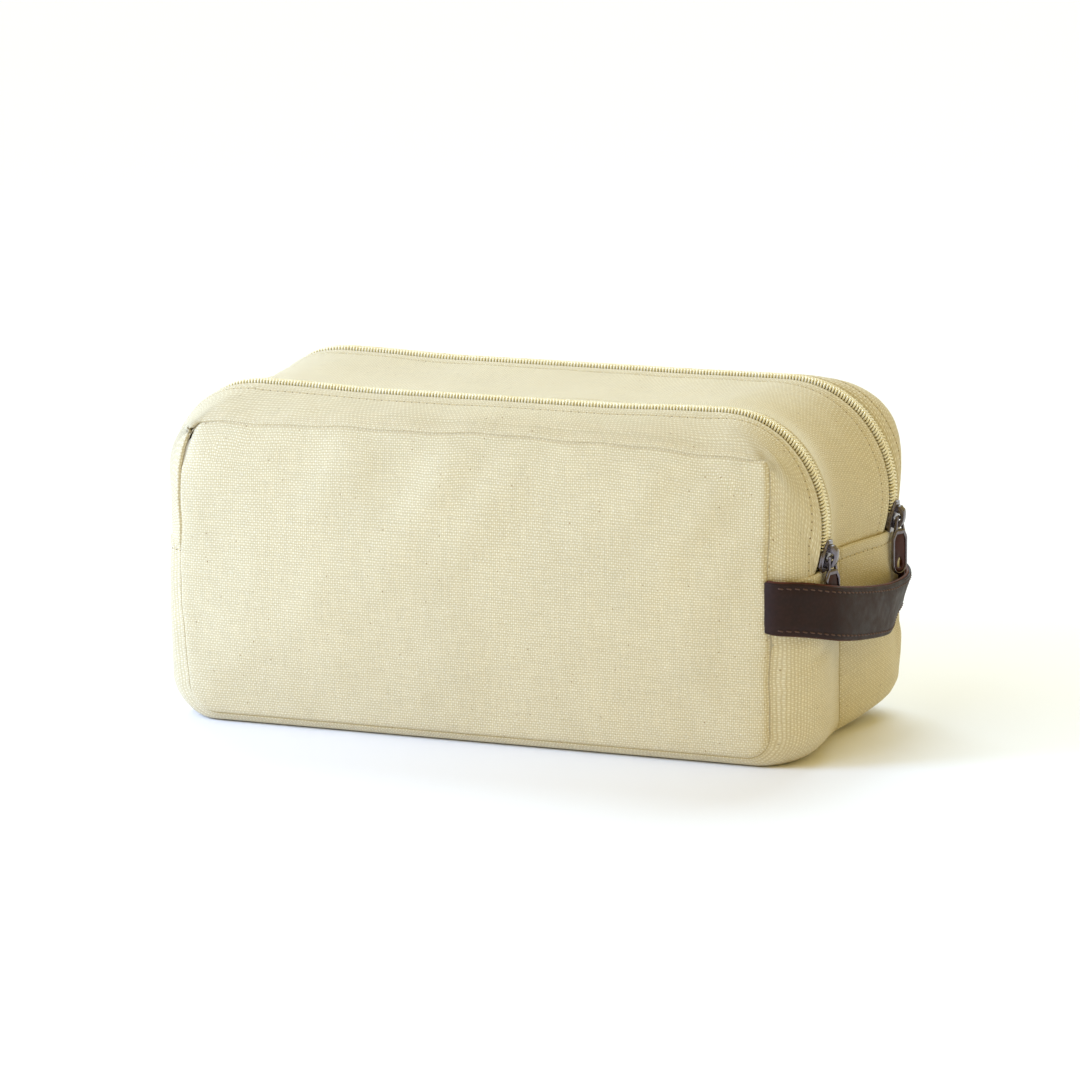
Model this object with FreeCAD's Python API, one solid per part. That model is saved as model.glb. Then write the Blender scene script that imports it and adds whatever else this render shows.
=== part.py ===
import FreeCAD, Part
import math
import os

# Two-compartment shaving kit bag in heavy canvas, standing on its base.
# Frame: X along the length (strap handle on the +X end), front face at -Y,
# Z up, origin in the middle of the footprint on the surface it stands on.
# All lengths in millimetres.

os.makedirs("parts", exist_ok=True)
V = FreeCAD.Vector

# ---------------------------------------------------------------- dimensions
CANVAS = 1.4            # canvas thickness
TAPE = 0.5              # zip tape thickness
LINING = 0.4            # lining cloth thickness
SEAM_Y = 61.0           # half distance between front and back panel seams
HEM_Z = 72.0            # top hem of the lower gussets
FOLD_GAP = 0.3          # gap between lower and upper part of a panel
STRIP_LOW = 72.6        # lower ends of the zip strips
TUCK_Z = 66.0           # the centre band is tucked this low behind the hem
ZIP_Y = 40.0            # zip centre lines at y = -40 and +40
GAP_HALF = 5.0          # canvas edges stand this far from the zip line
ROW_IN = 0.6            # coil rows start this far from the zip line
ROW_OUT = 2.9           # coil rows end this far from the zip line
TAPE_HALF = 12.0        # zip tape reaches this far from the zip line
ZIP_R = 43.0            # corner radius of the zip line
ZIP_CX = 90.5           # corner centre, X
ZIP_CZ = 87.5           # corner centre, Z
SLIDER_DEG = -10.7      # closed slider, angle below the corner centre
SLIDER_LEN = 12.5
SLIDER_HALF = 4.4
PULL_LEN = 22.5         # pin centre to lower end of the pull
STRAP_T = 2.4           # two plies of leather
STRAP_W = 20.0

# Outline of the upper part, |y| -> (half length, top z, corner radius, start angle)
UPPER = [
    (0.0, 124.5, 128.5, 43.0, 0.0),
    (20.0, 128.5, 129.3, 43.0, -8.0),
    (35.0, 133.5, 130.5, 43.0, -19.5),
    (45.0, 133.5, 130.5, 43.0, -19.5),
    (48.0, 131.9, 129.1, 39.0, -15.0),
    (52.0, 128.6, 126.2, 32.0, -8.0),
    (57.0, 124.0, 121.8, 20.0, -3.0),
    (61.0, 119.0, 117.0, 9.0, 0.0),
]
# Outline of the lower part, |y| -> (half length, bottom z, corner radius)
LOWER = [
    (0.0, 126.1, 0.0, 14.0),
    (20.0, 130.8, 0.0, 15.0),
    (40.0, 134.4, 0.0, 16.0),
    (48.0, 132.6, 0.0, 16.0),
    (52.0, 130.0, 0.3, 15.0),
    (57.0, 125.4, 1.6, 14.0),
    (61.0, 120.5, 4.5, 12.0),
]
# Strap: y, mid x of top edge, mid x of lower edge, z of top edge, z of lower edge
STRAP = [
    (-61.0, 123.2, 123.2, 72.4, 52.5),
    (-58.5, 126.8, 126.8, 72.0, 52.0),
    (-55.0, 130.8, 130.8, 71.3, 51.2),
    (-50.0, 135.0, 135.0, 70.0, 49.9),
    (-44.0, 139.0, 138.9, 68.5, 48.3),
    (-36.0, 140.8, 140.6, 66.8, 46.6),
    (-24.0, 142.2, 141.8, 64.5, 44.4),
    (-8.0, 142.9, 142.3, 61.6, 41.8),
    (8.0, 142.9, 141.9, 59.2, 39.7),
    (22.0, 142.2, 140.7, 57.8, 38.5),
    (34.0, 141.0, 138.9, 57.0, 38.0),
    (41.0, 139.8, 137.6, 56.6, 37.9),
    (46.0, 138.0, 136.4, 56.6, 38.0),
    (50.0, 135.6, 134.9, 56.9, 38.2),
    (55.0, 130.9, 130.7, 57.6, 38.7),
    (58.5, 126.8, 126.8, 58.2, 39.1),
    (61.0, 123.2, 123.2, 58.6, 39.4),
]
ARC = 12                # facets of a corner arc


# ------------------------------------------------------------------- helpers
def table(rows, y):
    y = abs(y)
    if y <= rows[0][0]:
        return rows[0][1:]
    for a, b in zip(rows, rows[1:]):
        if y <= b[0]:
            k = (y - a[0]) / (b[0] - a[0])
            return tuple(p + k * (q - p) for p, q in zip(a[1:], b[1:]))
    return rows[-1][1:]


def arc_points(cx, cz, r, d0, d1, n):
    return [(cx + r * math.cos(math.radians(d0 + (d1 - d0) * i / n)),
             cz + r * math.sin(math.radians(d0 + (d1 - d0) * i / n)))
            for i in range(n + 1)]


def upper_path(y, inset, low_r, low_l, from_r=None, from_l=None, n=ARC):
    """Path over the top, right end first, set in from the outer face."""
    a, top, r, th = table(UPPER, y)
    cx, cz, rr = a - r, top - r, r - inset
    out = []
    for side, low, start in ((1, low_r, from_r), (-1, low_l, from_l)):
        t0 = th if start is None else start
        pts = arc_points(cx, cz, rr, t0, 90.0, n)
        if start is None:
            pts = [(pts[0][0], low)] + pts
        pts = [(side * p[0], p[1]) for p in pts]
        out.append(pts if side == 1 else pts[::-1])
    return out[0] + out[1]


def end_path(y, inset, low, to_deg, n=8):
    """Path of the right end only, from the tuck up to an angle."""
    a, top, r, th = table(UPPER, y)
    pts = arc_points(a - r, top - r, r - inset, th, to_deg, n)
    return [(pts[0][0], low)] + pts


def lower_path(y, inset, high, n=8):
    """Path down the right end, along the bottom and up the left end."""
    a, b, r = table(LOWER, y)
    a, b, r = a - inset, b + inset, r - inset
    right = [(a, high)] + arc_points(a - r, b + r, r, 0.0, -90.0, n)
    return right + [(-p[0], p[1]) for p in right[::-1]]


def face(points):
    return Part.Face(Part.makePolygon([V(*p) for p in points] + [V(*points[0])]))


def loft(sections):
    """Closed solid of flat facets through sections with matching corners."""
    faces = [face(sections[0]), face(sections[-1])]
    for s, t in zip(sections, sections[1:]):
        n = len(s)
        for i in range(n):
            a, b, c, d = s[i], s[(i + 1) % n], t[(i + 1) % n], t[i]
            faces.append(face([a, b, c]))
            faces.append(face([a, c, d]))
    shell = Part.makeShell(faces)
    solid = Part.makeSolid(shell)
    if solid.Volume < 0:
        solid.reverse()
    return solid


def bands(ys, outer, inner):
    """Thin band through stations ys; outer(y) and inner(y) give x-z paths."""
    secs = []
    for y in ys:
        poly = outer(y) + inner(y)[::-1]
        secs.append([(p[0], y, p[1]) for p in poly])
    return loft(secs)


def mirror_y(shape):
    return shape.mirror(V(0, 0, 0), V(0, 1, 0))


def save(name, shape):
    if shape.ShapeType == "Compound" and len(shape.Solids) == 1:
        shape = shape.Solids[0]
    assert shape.isValid(), name
    assert shape.Volume > 0, name
    shape.exportStep("parts/%s.step" % name)
    bb = shape.BoundBox
    print("%-24s vol %9.1f  x %7.1f %7.1f  y %6.1f %6.1f  z %6.1f %6.1f solids %d" % (
        name, shape.Volume, bb.XMin, bb.XMax, bb.YMin, bb.YMax, bb.ZMin,
        bb.ZMax, len(shape.Solids)))


# --------------------------------------------------------------- the panels
def panel_outline(inset):
    a, top, r, _ = table(UPPER, SEAM_Y)
    al, b, rl = table(LOWER, SEAM_Y)
    r0, rl0 = max(r - inset, 1.5), max(rl - inset, 1.5)
    ax, tz = a - inset, top - inset
    bx, bz = al - inset, b + inset
    right = arc_points(bx - rl0, bz + rl0, rl0, -90.0, 0.0, 6)
    right += arc_points(ax - r0, tz - r0, r0, 0.0, 90.0, 6)
    return right + [(-p[0], p[1]) for p in right[::-1]]


def pillow(shift):
    rings = [(0.0, SEAM_Y), (0.0, SEAM_Y + 0.6), (8.0, SEAM_Y + 1.8),
             (26.0, SEAM_Y + 2.7)]
    return loft([[(p[0], -y + shift, p[1]) for p in panel_outline(i)]
                 for i, y in rings])


panel = pillow(0.0).cut(pillow(CANVAS))
lower_half = Part.makeBox(400, 40, HEM_Z + 20, V(-200, -80, -20))
upper_half = Part.makeBox(400, 40, 100, V(-200, -80, HEM_Z + FOLD_GAP))
panel_low = panel.common(lower_half)
panel_up = panel.common(upper_half)
save("front_panel_lower", panel_low)
save("front_panel_upper", panel_up)
save("back_panel_lower", mirror_y(panel_low))
save("back_panel_upper", mirror_y(panel_up))

# --------------------------------------------------- strips, band and gussets
strip_ys = [-SEAM_Y, -57.0, -52.0, -48.0, -(ZIP_Y + GAP_HALF)]
strip = bands(strip_ys,
              lambda y: upper_path(y, 0.0, STRIP_LOW, STRIP_LOW),
              lambda y: upper_path(y, CANVAS, STRIP_LOW, STRIP_LOW))
save("front_zip_strip", strip)
save("rear_zip_strip", mirror_y(strip))

band_ys = [-35.0, -28.0, -20.0, 0.0, 20.0, 28.0, 35.0]
band = bands(band_ys,
             lambda y: upper_path(y, 0.0, TUCK_Z, TUCK_Z),
             lambda y: upper_path(y, CANVAS, TUCK_Z, TUCK_Z))
save("centre_band", band)

gusset_ys = [-SEAM_Y, -57.0, -52.0, -48.0, -40.0, -20.0, 0.0]
gusset = bands(gusset_ys,
               lambda y: lower_path(y, 0.0, HEM_Z),
               lambda y: lower_path(y, CANVAS, HEM_Z))
save("front_gusset", gusset)
save("rear_gusset", mirror_y(gusset))

# Wall between the two compartments, sewn to band and gussets all round.
a0, t0, r0, _ = table(UPPER, 0.0)
al0, b0, rl0 = table(LOWER, 0.0)
clear = CANVAS + 0.15
wall = arc_points(a0 - r0, t0 - r0, r0 - clear, 0.0, 90.0, ARC)
low = arc_points(a0 - clear - 12.0, b0 + clear + 12.0, 12.0, -90.0, 0.0, 8)
wall = low + wall
wall = wall + [(-p[0], p[1]) for p in wall[::-1]]
save("divider", loft([[(p[0], y, p[1]) for p in wall] for y in (-0.4, 0.4)]))

# ------------------------------------------------------------------ the zips
T0 = CANVAS + 0.3                  # tapes lie under the canvas
T1 = T0 + TAPE
COIL_OUT = -0.4                    # the coils stand a little proud
END_DEG = 0.6                      # fixed lower zip end stops here
START_DEG = 1.7                    # the opening side starts here
ZIP_LOW = 62.0


def zip_parts():
    inner_tape = bands([-(ZIP_Y - ROW_IN), -35.0, -(ZIP_Y - TAPE_HALF)],
                       lambda y: upper_path(y, T0, ZIP_LOW, ZIP_LOW),
                       lambda y: upper_path(y, T1, ZIP_LOW, ZIP_LOW))
    inner_coil = bands([-(ZIP_Y - ROW_IN), -(ZIP_Y - ROW_OUT)],
                       lambda y: upper_path(y, COIL_OUT, ZIP_LOW, ZIP_LOW, n=16),
                       lambda y: upper_path(y, T0 - 0.15, ZIP_LOW, ZIP_LOW, n=16))
    outer_tape = bands([-(ZIP_Y + TAPE_HALF), -48.0, -45.0, -(ZIP_Y + ROW_IN)],
                       lambda y: upper_path(y, T0, 0, STRIP_LOW, START_DEG),
                       lambda y: upper_path(y, T1, 0, STRIP_LOW, START_DEG))
    outer_coil = bands([-(ZIP_Y + ROW_OUT), -(ZIP_Y + ROW_IN)],
                       lambda y: upper_path(y, COIL_OUT, 0, STRIP_LOW, START_DEG, n=16),
                       lambda y: upper_path(y, T0 - 0.15, 0, STRIP_LOW, START_DEG, n=16))
    # lower end of the opening side: stays put beside the closed slider
    end_tape = bands([-(ZIP_Y + 4.7), -(ZIP_Y + ROW_IN)],
                     lambda y: end_path(y, T0, ZIP_LOW, END_DEG),
                     lambda y: end_path(y, T1, ZIP_LOW, END_DEG))
    end_coil = bands([-(ZIP_Y + ROW_OUT), -(ZIP_Y + ROW_IN)],
                     lambda y: end_path(y, COIL_OUT, ZIP_LOW, END_DEG),
                     lambda y: end_path(y, T0 + 0.01, ZIP_LOW, END_DEG))
    end = end_tape.fuse(end_coil)
    return inner_tape, inner_coil, outer_tape, outer_coil, end


it, ic, ot, oc, ze = zip_parts()
for side, f in (("front", lambda s: s), ("rear", mirror_y)):
    save(side + "_zip_tape_inner", f(it))
    save(side + "_zip_coil_inner", f(ic))
    save(side + "_zip_tape_outer", f(ot))
    save(side + "_zip_coil_outer", f(oc))
    save(side + "_zip_end", f(ze))

# ---------------------------------------------------------- slider and pull
# Slider in its own frame: s up the zip, w across it, r outward. It is placed
# at the closed position, tangent to the zip line.
CH_IN = T1 + 0.85                   # inner side of the channel
CH_OUT = -COIL_OUT + 0.3            # outer side of the channel
PLATE_I, PLATE_O = 1.0, 1.2
PIN_R = CH_OUT + PLATE_O + 1.6      # pin centre above the canvas face
PIN_D = 1.5


def prism(points, axis, lo, hi):
    """Prism of a 2-D outline; local axes are (s, w, r)."""
    if axis == "r":
        pts = [V(p[0], p[1], lo) for p in points]
        d = V(0, 0, hi - lo)
    else:
        pts = [V(p[0], lo, p[1]) for p in points]
        d = V(0, hi - lo, 0)
    return Part.Face(Part.makePolygon(pts + [pts[0]])).extrude(d)


def slider_local():
    h, w = SLIDER_LEN / 2.0, SLIDER_HALF
    plan = [(-h, -w + 1.4), (-h + 1.2, -w), (1.0, -w), (h - 1.0, -w + 0.9),
            (h, -w + 1.9), (h, w - 1.9), (h - 1.0, w - 0.9), (1.0, w),
            (-h + 1.2, w), (-h, w - 1.4)]
    top = prism(plan, "r", CH_OUT, CH_OUT + PLATE_O)
    bottom = prism(plan, "r", -CH_IN - PLATE_I, -CH_IN)
    post = prism([(-0.5, -0.3), (4.8, -0.3), (4.8, 0.3), (-0.5, 0.3)], "r",
                 -CH_IN - 0.2, CH_OUT + 0.2)
    o = CH_OUT + PLATE_O
    arch = [(-3.9, o - 0.2), (-3.9, o + 2.9), (-3.0, o + 3.9), (3.0, o + 3.9),
            (3.9, o + 2.9), (3.9, o - 0.2), (2.5, o - 0.2), (2.5, o + 2.3),
            (2.1, o + 2.75), (-2.1, o + 2.75), (-2.5, o + 2.3), (-2.5, o - 0.2)]
    bridge = prism(arch, "w", -1.5, 1.5)
    s = top.fuse([bottom, post, bridge]).removeSplitter()
    return s.Solids[0] if len(s.Solids) == 1 else s


def place(shape, deg, y):
    """Local (s, w, r) to the zip line at an angle; w keeps pointing to +Y."""
    c, s = math.cos(math.radians(deg)), math.sin(math.radians(deg))
    er, et = V(c, 0, s), V(-s, 0, c)
    o = V(ZIP_CX, y, ZIP_CZ) + er * ZIP_R
    m = FreeCAD.Matrix(et.x, 0, er.x, o.x,
                       et.y, 1, er.y, o.y,
                       et.z, 0, er.z, o.z,
                       0, 0, 0, 1)
    # s, w, r is left-handed against X, Y, Z: mirror w, the part is symmetric
    m = m.multiply(FreeCAD.Matrix(1, 0, 0, 0, 0, -1, 0, 0, 0, 0, 1, 0, 0, 0, 0, 1))
    return shape.transformGeometry(m)


slider = slider_local()
save("front_zip_slider", place(slider, SLIDER_DEG, -ZIP_Y))
save("rear_zip_slider", place(slider, SLIDER_DEG, ZIP_Y))

cr, sr = math.cos(math.radians(SLIDER_DEG)), math.sin(math.radians(SLIDER_DEG))
PIN_X = ZIP_CX + (ZIP_R + PIN_R) * cr
PIN_Z = ZIP_CZ + (ZIP_R + PIN_R) * sr
print("slider pin at x %.3f z %.3f" % (PIN_X, PIN_Z))


def rounded(w_top, w_mid, z_top, z_bot, r, grow=0.0):
    """Outline of the hanging tab, narrow at the top, round at the lower end."""
    pts = [(-w_top - grow, z_top + grow), (-w_mid - grow, z_top - 5.0)]
    pts += [(-w_mid - grow, z_bot + r)]
    for i in range(1, 12):
        t = math.pi + math.pi * i / 12.0
        pts.append(((w_mid + grow) * math.cos(t), z_bot + r + (r + grow) * math.sin(t)))
    pts += [(w_mid + grow, z_bot + r), (w_mid + grow, z_top - 5.0),
            (w_top + grow, z_top + grow)]
    return pts


def in_x(points, x0, x1, y, dz):
    pts = [V(x0, y + p[0], dz + p[1]) for p in points]
    return Part.Face(Part.makePolygon(pts + [pts[0]])).extrude(V(x1 - x0, 0, 0))


def pull_and_inset(y):
    t = PIN_D / 2.0
    x0, x1 = PIN_X - t, PIN_X + t
    body = in_x(rounded(3.1, 4.0, -3.6, -PULL_LEN, 4.0), x0, x1, y, PIN_Z)
    arms = in_x([(-3.5, 0.0), (3.5, 0.0), (3.5, -6.5), (-3.5, -6.5)], x0, x1, y, PIN_Z)
    window = in_x([(-2.0, 0.6), (2.0, 0.6), (2.0, -5.4), (-2.0, -5.4)],
                  x0 - 1, x1 + 1, y, PIN_Z)
    pin = Part.makeCylinder(t, 7.0, V(PIN_X, y - 3.5, PIN_Z), V(0, 1, 0))
    hole = in_x(rounded(0.3, 1.7, -PULL_LEN + 9.2, -PULL_LEN + 2.3, 1.7),
                x0 - 1, x1 + 1, y, PIN_Z)
    well = in_x([(-2.9, -7.0), (-2.9, -PULL_LEN + 9.8), (2.9, -PULL_LEN + 9.8),
                 (2.9, -7.0)], x1 - 0.6, x1 + 1, y, PIN_Z)
    body = body.fuse(arms).cut(window).cut(hole).fuse(pin).cut(well).removeSplitter()
    inset = in_x([(-2.8, -7.1), (-2.8, -PULL_LEN + 9.9), (2.8, -PULL_LEN + 9.9),
                  (2.8, -7.1)], x1 - 0.58, x1 + 0.25, y, PIN_Z)
    return body.Solids[0], inset


for side, y in (("front", -ZIP_Y), ("rear", ZIP_Y)):
    b, i = pull_and_inset(y)
    save(side + "_zip_pull", b)
    save(side + "_pull_inset", i)

# ----------------------------------------------------------------- the strap
def strap_ply(t0, t1):
    secs = []
    n = len(STRAP)
    for i, row in enumerate(STRAP):
        y, xt, xb, zt, zb = row
        quad = []
        for k, (x, z) in enumerate(((xt, zt), (xb, zb))):
            if i in (0, n - 1):
                nx, ny = 1.0, 0.0
            else:
                p, q = STRAP[i - 1], STRAP[i + 1]
                dy, dx = q[0] - p[0], q[1 + k] - p[1 + k]
                d = math.hypot(dx, dy)
                nx, ny = dy / d, -dx / d
            for t in (t0, t1):
                quad.append((x + nx * t, y + ny * t, z))
        a, b, c, d = quad       # top t0, top t1, low t0, low t1
        # both plies split their mating face along the same diagonal
        secs.append([a, b, d, c] if t0 > 0 else [a, c, d, b])
    faces = [face(secs[0]), face(secs[-1])]
    for s, t in zip(secs, secs[1:]):
        for i in range(4):
            a, b, c, d = s[i], s[(i + 1) % 4], t[(i + 1) % 4], t[i]
            faces += [face([a, b, c]), face([a, c, d])]
    solid = Part.makeSolid(Part.makeShell(faces))
    if solid.Volume < 0:
        solid.reverse()
    return solid


save("strap_outer_ply", strap_ply(0.02, STRAP_T / 2.0))
save("strap_inner_ply", strap_ply(-STRAP_T / 2.0, -0.02))

# --------------------------------------------------------------- the linings
L0 = T1 + 0.3
L1 = L0 + LINING
flap_lining = bands([-60.6, -57.0, -52.0, -47.5],
                    lambda y: upper_path(y, L0, STRIP_LOW, STRIP_LOW),
                    lambda y: upper_path(y, L1, STRIP_LOW, STRIP_LOW))
sheet = [(p[0], p[1]) for p in panel_outline(L0 + 0.15)]
sheet_solid = loft([[(p[0], y, p[1]) for p in sheet] for y in (-60.9, -60.5)])
flap_lining = flap_lining.fuse(sheet_solid.common(
    Part.makeBox(400, 40, 100, V(-200, -80, STRIP_LOW))))
low_u = bands([-60.6, -57.0, -52.0, -48.0, -40.0, -20.0, -0.9],
              lambda y: lower_path(y, CANVAS + 0.3, HEM_Z - 7.0),
              lambda y: lower_path(y, CANVAS + 0.3 + LINING, HEM_Z - 7.0))
low_outline = panel_outline(CANVAS + 0.5)
low_sheet = loft([[(p[0], y, p[1]) for p in low_outline] for y in (-60.9, -60.5)])
low_sheet = low_sheet.common(Part.makeBox(400, 40, 100, V(-200, -80, HEM_Z - 107.0)))
low_lining = low_u.fuse(low_sheet)
band_lining = bands([-28.0, -20.0, -0.9],
                    lambda y: upper_path(y, L0, HEM_Z - 7.5, HEM_Z - 7.5),
                    lambda y: upper_path(y, L1, HEM_Z - 7.5, HEM_Z - 7.5))
for side, f in (("front", lambda s: s), ("rear", mirror_y)):
    save(side + "_flap_lining", f(flap_lining))
    save(side + "_lower_lining", f(low_lining))
    save(side + "_band_lining", f(band_lining))
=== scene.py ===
import math

import bpy
import numpy as np
from mathutils import Matrix, Vector, noise


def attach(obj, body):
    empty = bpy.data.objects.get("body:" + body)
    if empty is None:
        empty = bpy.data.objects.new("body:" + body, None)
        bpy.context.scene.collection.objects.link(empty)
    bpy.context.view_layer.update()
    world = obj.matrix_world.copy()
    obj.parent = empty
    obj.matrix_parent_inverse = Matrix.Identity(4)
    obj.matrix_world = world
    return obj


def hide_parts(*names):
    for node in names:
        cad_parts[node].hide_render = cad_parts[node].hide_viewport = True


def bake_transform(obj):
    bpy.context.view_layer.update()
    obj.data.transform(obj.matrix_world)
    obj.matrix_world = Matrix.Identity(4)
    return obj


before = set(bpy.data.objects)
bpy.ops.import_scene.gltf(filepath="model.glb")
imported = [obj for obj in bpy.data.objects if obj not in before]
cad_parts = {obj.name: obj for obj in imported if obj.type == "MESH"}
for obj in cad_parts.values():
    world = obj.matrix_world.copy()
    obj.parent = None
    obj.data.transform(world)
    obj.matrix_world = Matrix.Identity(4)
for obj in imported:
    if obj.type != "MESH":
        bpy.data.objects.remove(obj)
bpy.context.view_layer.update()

MM = 0.001

# ------------------------------------------------------------ camera, light
AZ, EL, ROLL = math.radians(22.04), math.radians(11.88), math.radians(-0.52)
DIST, FOCAL, CX, CY = 2134.9, 5480.55, 534.1, 561.95
LOOK = np.array([0.0, 0.0, 59.5])
back = np.array([math.sin(AZ) * math.cos(EL), -math.cos(AZ) * math.cos(EL), math.sin(EL)])
right = np.array([math.cos(AZ), math.sin(AZ), 0.0])
up = np.cross(back, right)
r2 = right * math.cos(ROLL) + up * math.sin(ROLL)
u2 = -right * math.sin(ROLL) + up * math.cos(ROLL)
cam = bpy.data.cameras.new("camera")
cam_ob = bpy.data.objects.new("camera", cam)
bpy.context.scene.collection.objects.link(cam_ob)
cam.sensor_width = 36.0
cam.lens = FOCAL / 1080.0 * 36.0
cam.shift_x = (540.0 - CX) / 1080.0
cam.shift_y = (CY - 540.0) / 1080.0
cam.clip_end = 50.0
pos = (LOOK + back * DIST) * MM
cam_ob.matrix_world = Matrix((
    (r2[0], u2[0], back[0], pos[0]),
    (r2[1], u2[1], back[1], pos[1]),
    (r2[2], u2[2], back[2], pos[2]),
    (0, 0, 0, 1)))
bpy.context.scene.camera = cam_ob
bpy.context.scene.view_settings.view_transform = "Standard"
bpy.context.scene.view_settings.look = "None"

world = bpy.data.worlds.new("studio")
bpy.context.scene.world = world
world.use_nodes = True
bg = world.node_tree.nodes["Background"]
bg.inputs["Color"].default_value = (1.0, 0.81, 0.345, 1.0)
bg.inputs["Strength"].default_value = 0.66


def sun(name, az, el, angle, power, color):
    """az as the camera's, from the front towards the right; degrees."""
    li = bpy.data.lights.new(name, "SUN")
    li.angle = math.radians(angle)
    li.energy = power
    li.color = color
    ob = bpy.data.objects.new(name, li)
    bpy.context.scene.collection.objects.link(ob)
    a, e = math.radians(az), math.radians(el)
    to = Vector((math.sin(a) * math.cos(e), -math.cos(a) * math.cos(e), math.sin(e)))
    ob.location = to * 3
    ob.rotation_euler = (-to).to_track_quat("-Z", "Y").to_euler()
    return ob


def area(name, loc, target, size, power, color):
    li = bpy.data.lights.new(name, "AREA")
    li.shape = "DISK"
    li.size = size
    li.energy = power
    li.color = color
    ob = bpy.data.objects.new(name, li)
    bpy.context.scene.collection.objects.link(ob)
    ob.location = loc
    ob.rotation_euler = (Vector(target) - Vector(loc)).to_track_quat("-Z", "Y").to_euler()
    return ob


sun("key", -40, 48, 45, 0.85, (0.46, 0.64, 1.0))
sun("back", 198, 44, 50, 2.5, (0.62, 0.80, 1.0))
area("near_key", (-0.60, -0.46, 0.38), (-0.03, 0, 0.07), 0.36, 6.1, (0.43, 0.605, 1.0))


# ------------------------------------------------------------ numeric tools
def pchip(x, y, d_first=None):
    x, y = np.asarray(x, float), np.asarray(y, float)
    h, d = np.diff(x), np.diff(y) / np.diff(x)
    m = np.zeros(len(x))
    for i in range(1, len(x) - 1):
        if d[i - 1] * d[i] > 0:
            w1, w2 = 2 * h[i] + h[i - 1], h[i] + 2 * h[i - 1]
            m[i] = (w1 + w2) / (w1 / d[i - 1] + w2 / d[i])
    m[0] = d[0] if d_first is None else d_first
    m[-1] = d[-1]

    def f(q):
        q = np.clip(np.asarray(q, float), x[0], x[-1])
        i = np.clip(np.searchsorted(x, q, side="right") - 1, 0, len(x) - 2)
        t = (q - x[i]) / h[i]
        t2, t3 = t * t, t * t * t
        return ((2 * t3 - 3 * t2 + 1) * y[i] + (t3 - 2 * t2 + t) * h[i] * m[i]
                + (-2 * t3 + 3 * t2) * y[i + 1] + (t3 - t2) * h[i] * m[i + 1])
    return f


def smooth(t):
    t = np.clip(t, 0.0, 1.0)
    return t * t * (3 - 2 * t)


def roll_in(e, r, depth):
    """How far a cloth edge turns in, at distance e from it."""
    k = np.clip(1 - e / r, 0, 1)
    return depth * (1 - np.sqrt(np.clip(1 - k * k, 0, 1)))


def bump1(x, c, w):
    return np.exp(-((x - c) / w) ** 2)


def noise3(P, scale, seed=0.0):
    """Gradient noise of points in mm; scale is the size of a feature."""
    flat = (P.reshape(-1, 3) / scale + np.array([seed * 7.3, seed * 3.1, seed * 5.7]))
    out = np.fromiter((noise.noise(p) for p in flat), float, len(flat))
    return out.reshape(P.shape[:-1])


UP_Y = [0.0, 20.0, 35.0, 45.0, 48.0, 52.0, 57.0, 61.0]
UPF = [pchip(UP_Y, v, 0.0) for v in (
    [124.5, 128.5, 133.5, 133.5, 132.3, 129.0, 124.2, 119.0],
    [128.5, 129.3, 130.5, 130.5, 129.8, 127.6, 123.4, 118.6],
    [43.0, 43.0, 43.0, 43.0, 39.0, 31.5, 18.0, 5.0],
    [0.0, -8.0, -19.5, -19.5, -15.0, -8.0, -3.0, 0.0])]
LO_Y = [0.0, 20.0, 40.0, 48.0, 52.0, 57.0, 61.0]
LOF = [pchip(LO_Y, v) for v in (
    [125.6, 130.8, 134.4, 132.9, 130.2, 125.2, 119.6],
    [0.4, 0.0, 0.0, 0.0, 0.0, 0.7, 2.9],
    [6.0, 12.5, 15.5, 15.5, 15.0, 13.5, 11.5])]
LO_R_REAR = pchip(LO_Y, [6.0, 8.0, 8.5, 8.5, 8.5, 8.5, 9.0])
PUSH = ([-15, 0, 16, 36, 52, 68, 80, 90], [0.0, 0.1, 0.8, 1.9, 2.7, 2.7, 1.8, 1.2])
SEAM_Y, HEM_Z, ZIP_Y, EDGE = 61.0, 72.0, 40.0, 5.0
ZIP_R, ZCX, ZCZ = 43.0, 90.5, 87.5
SLIDER_DEG = -10.7


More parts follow.
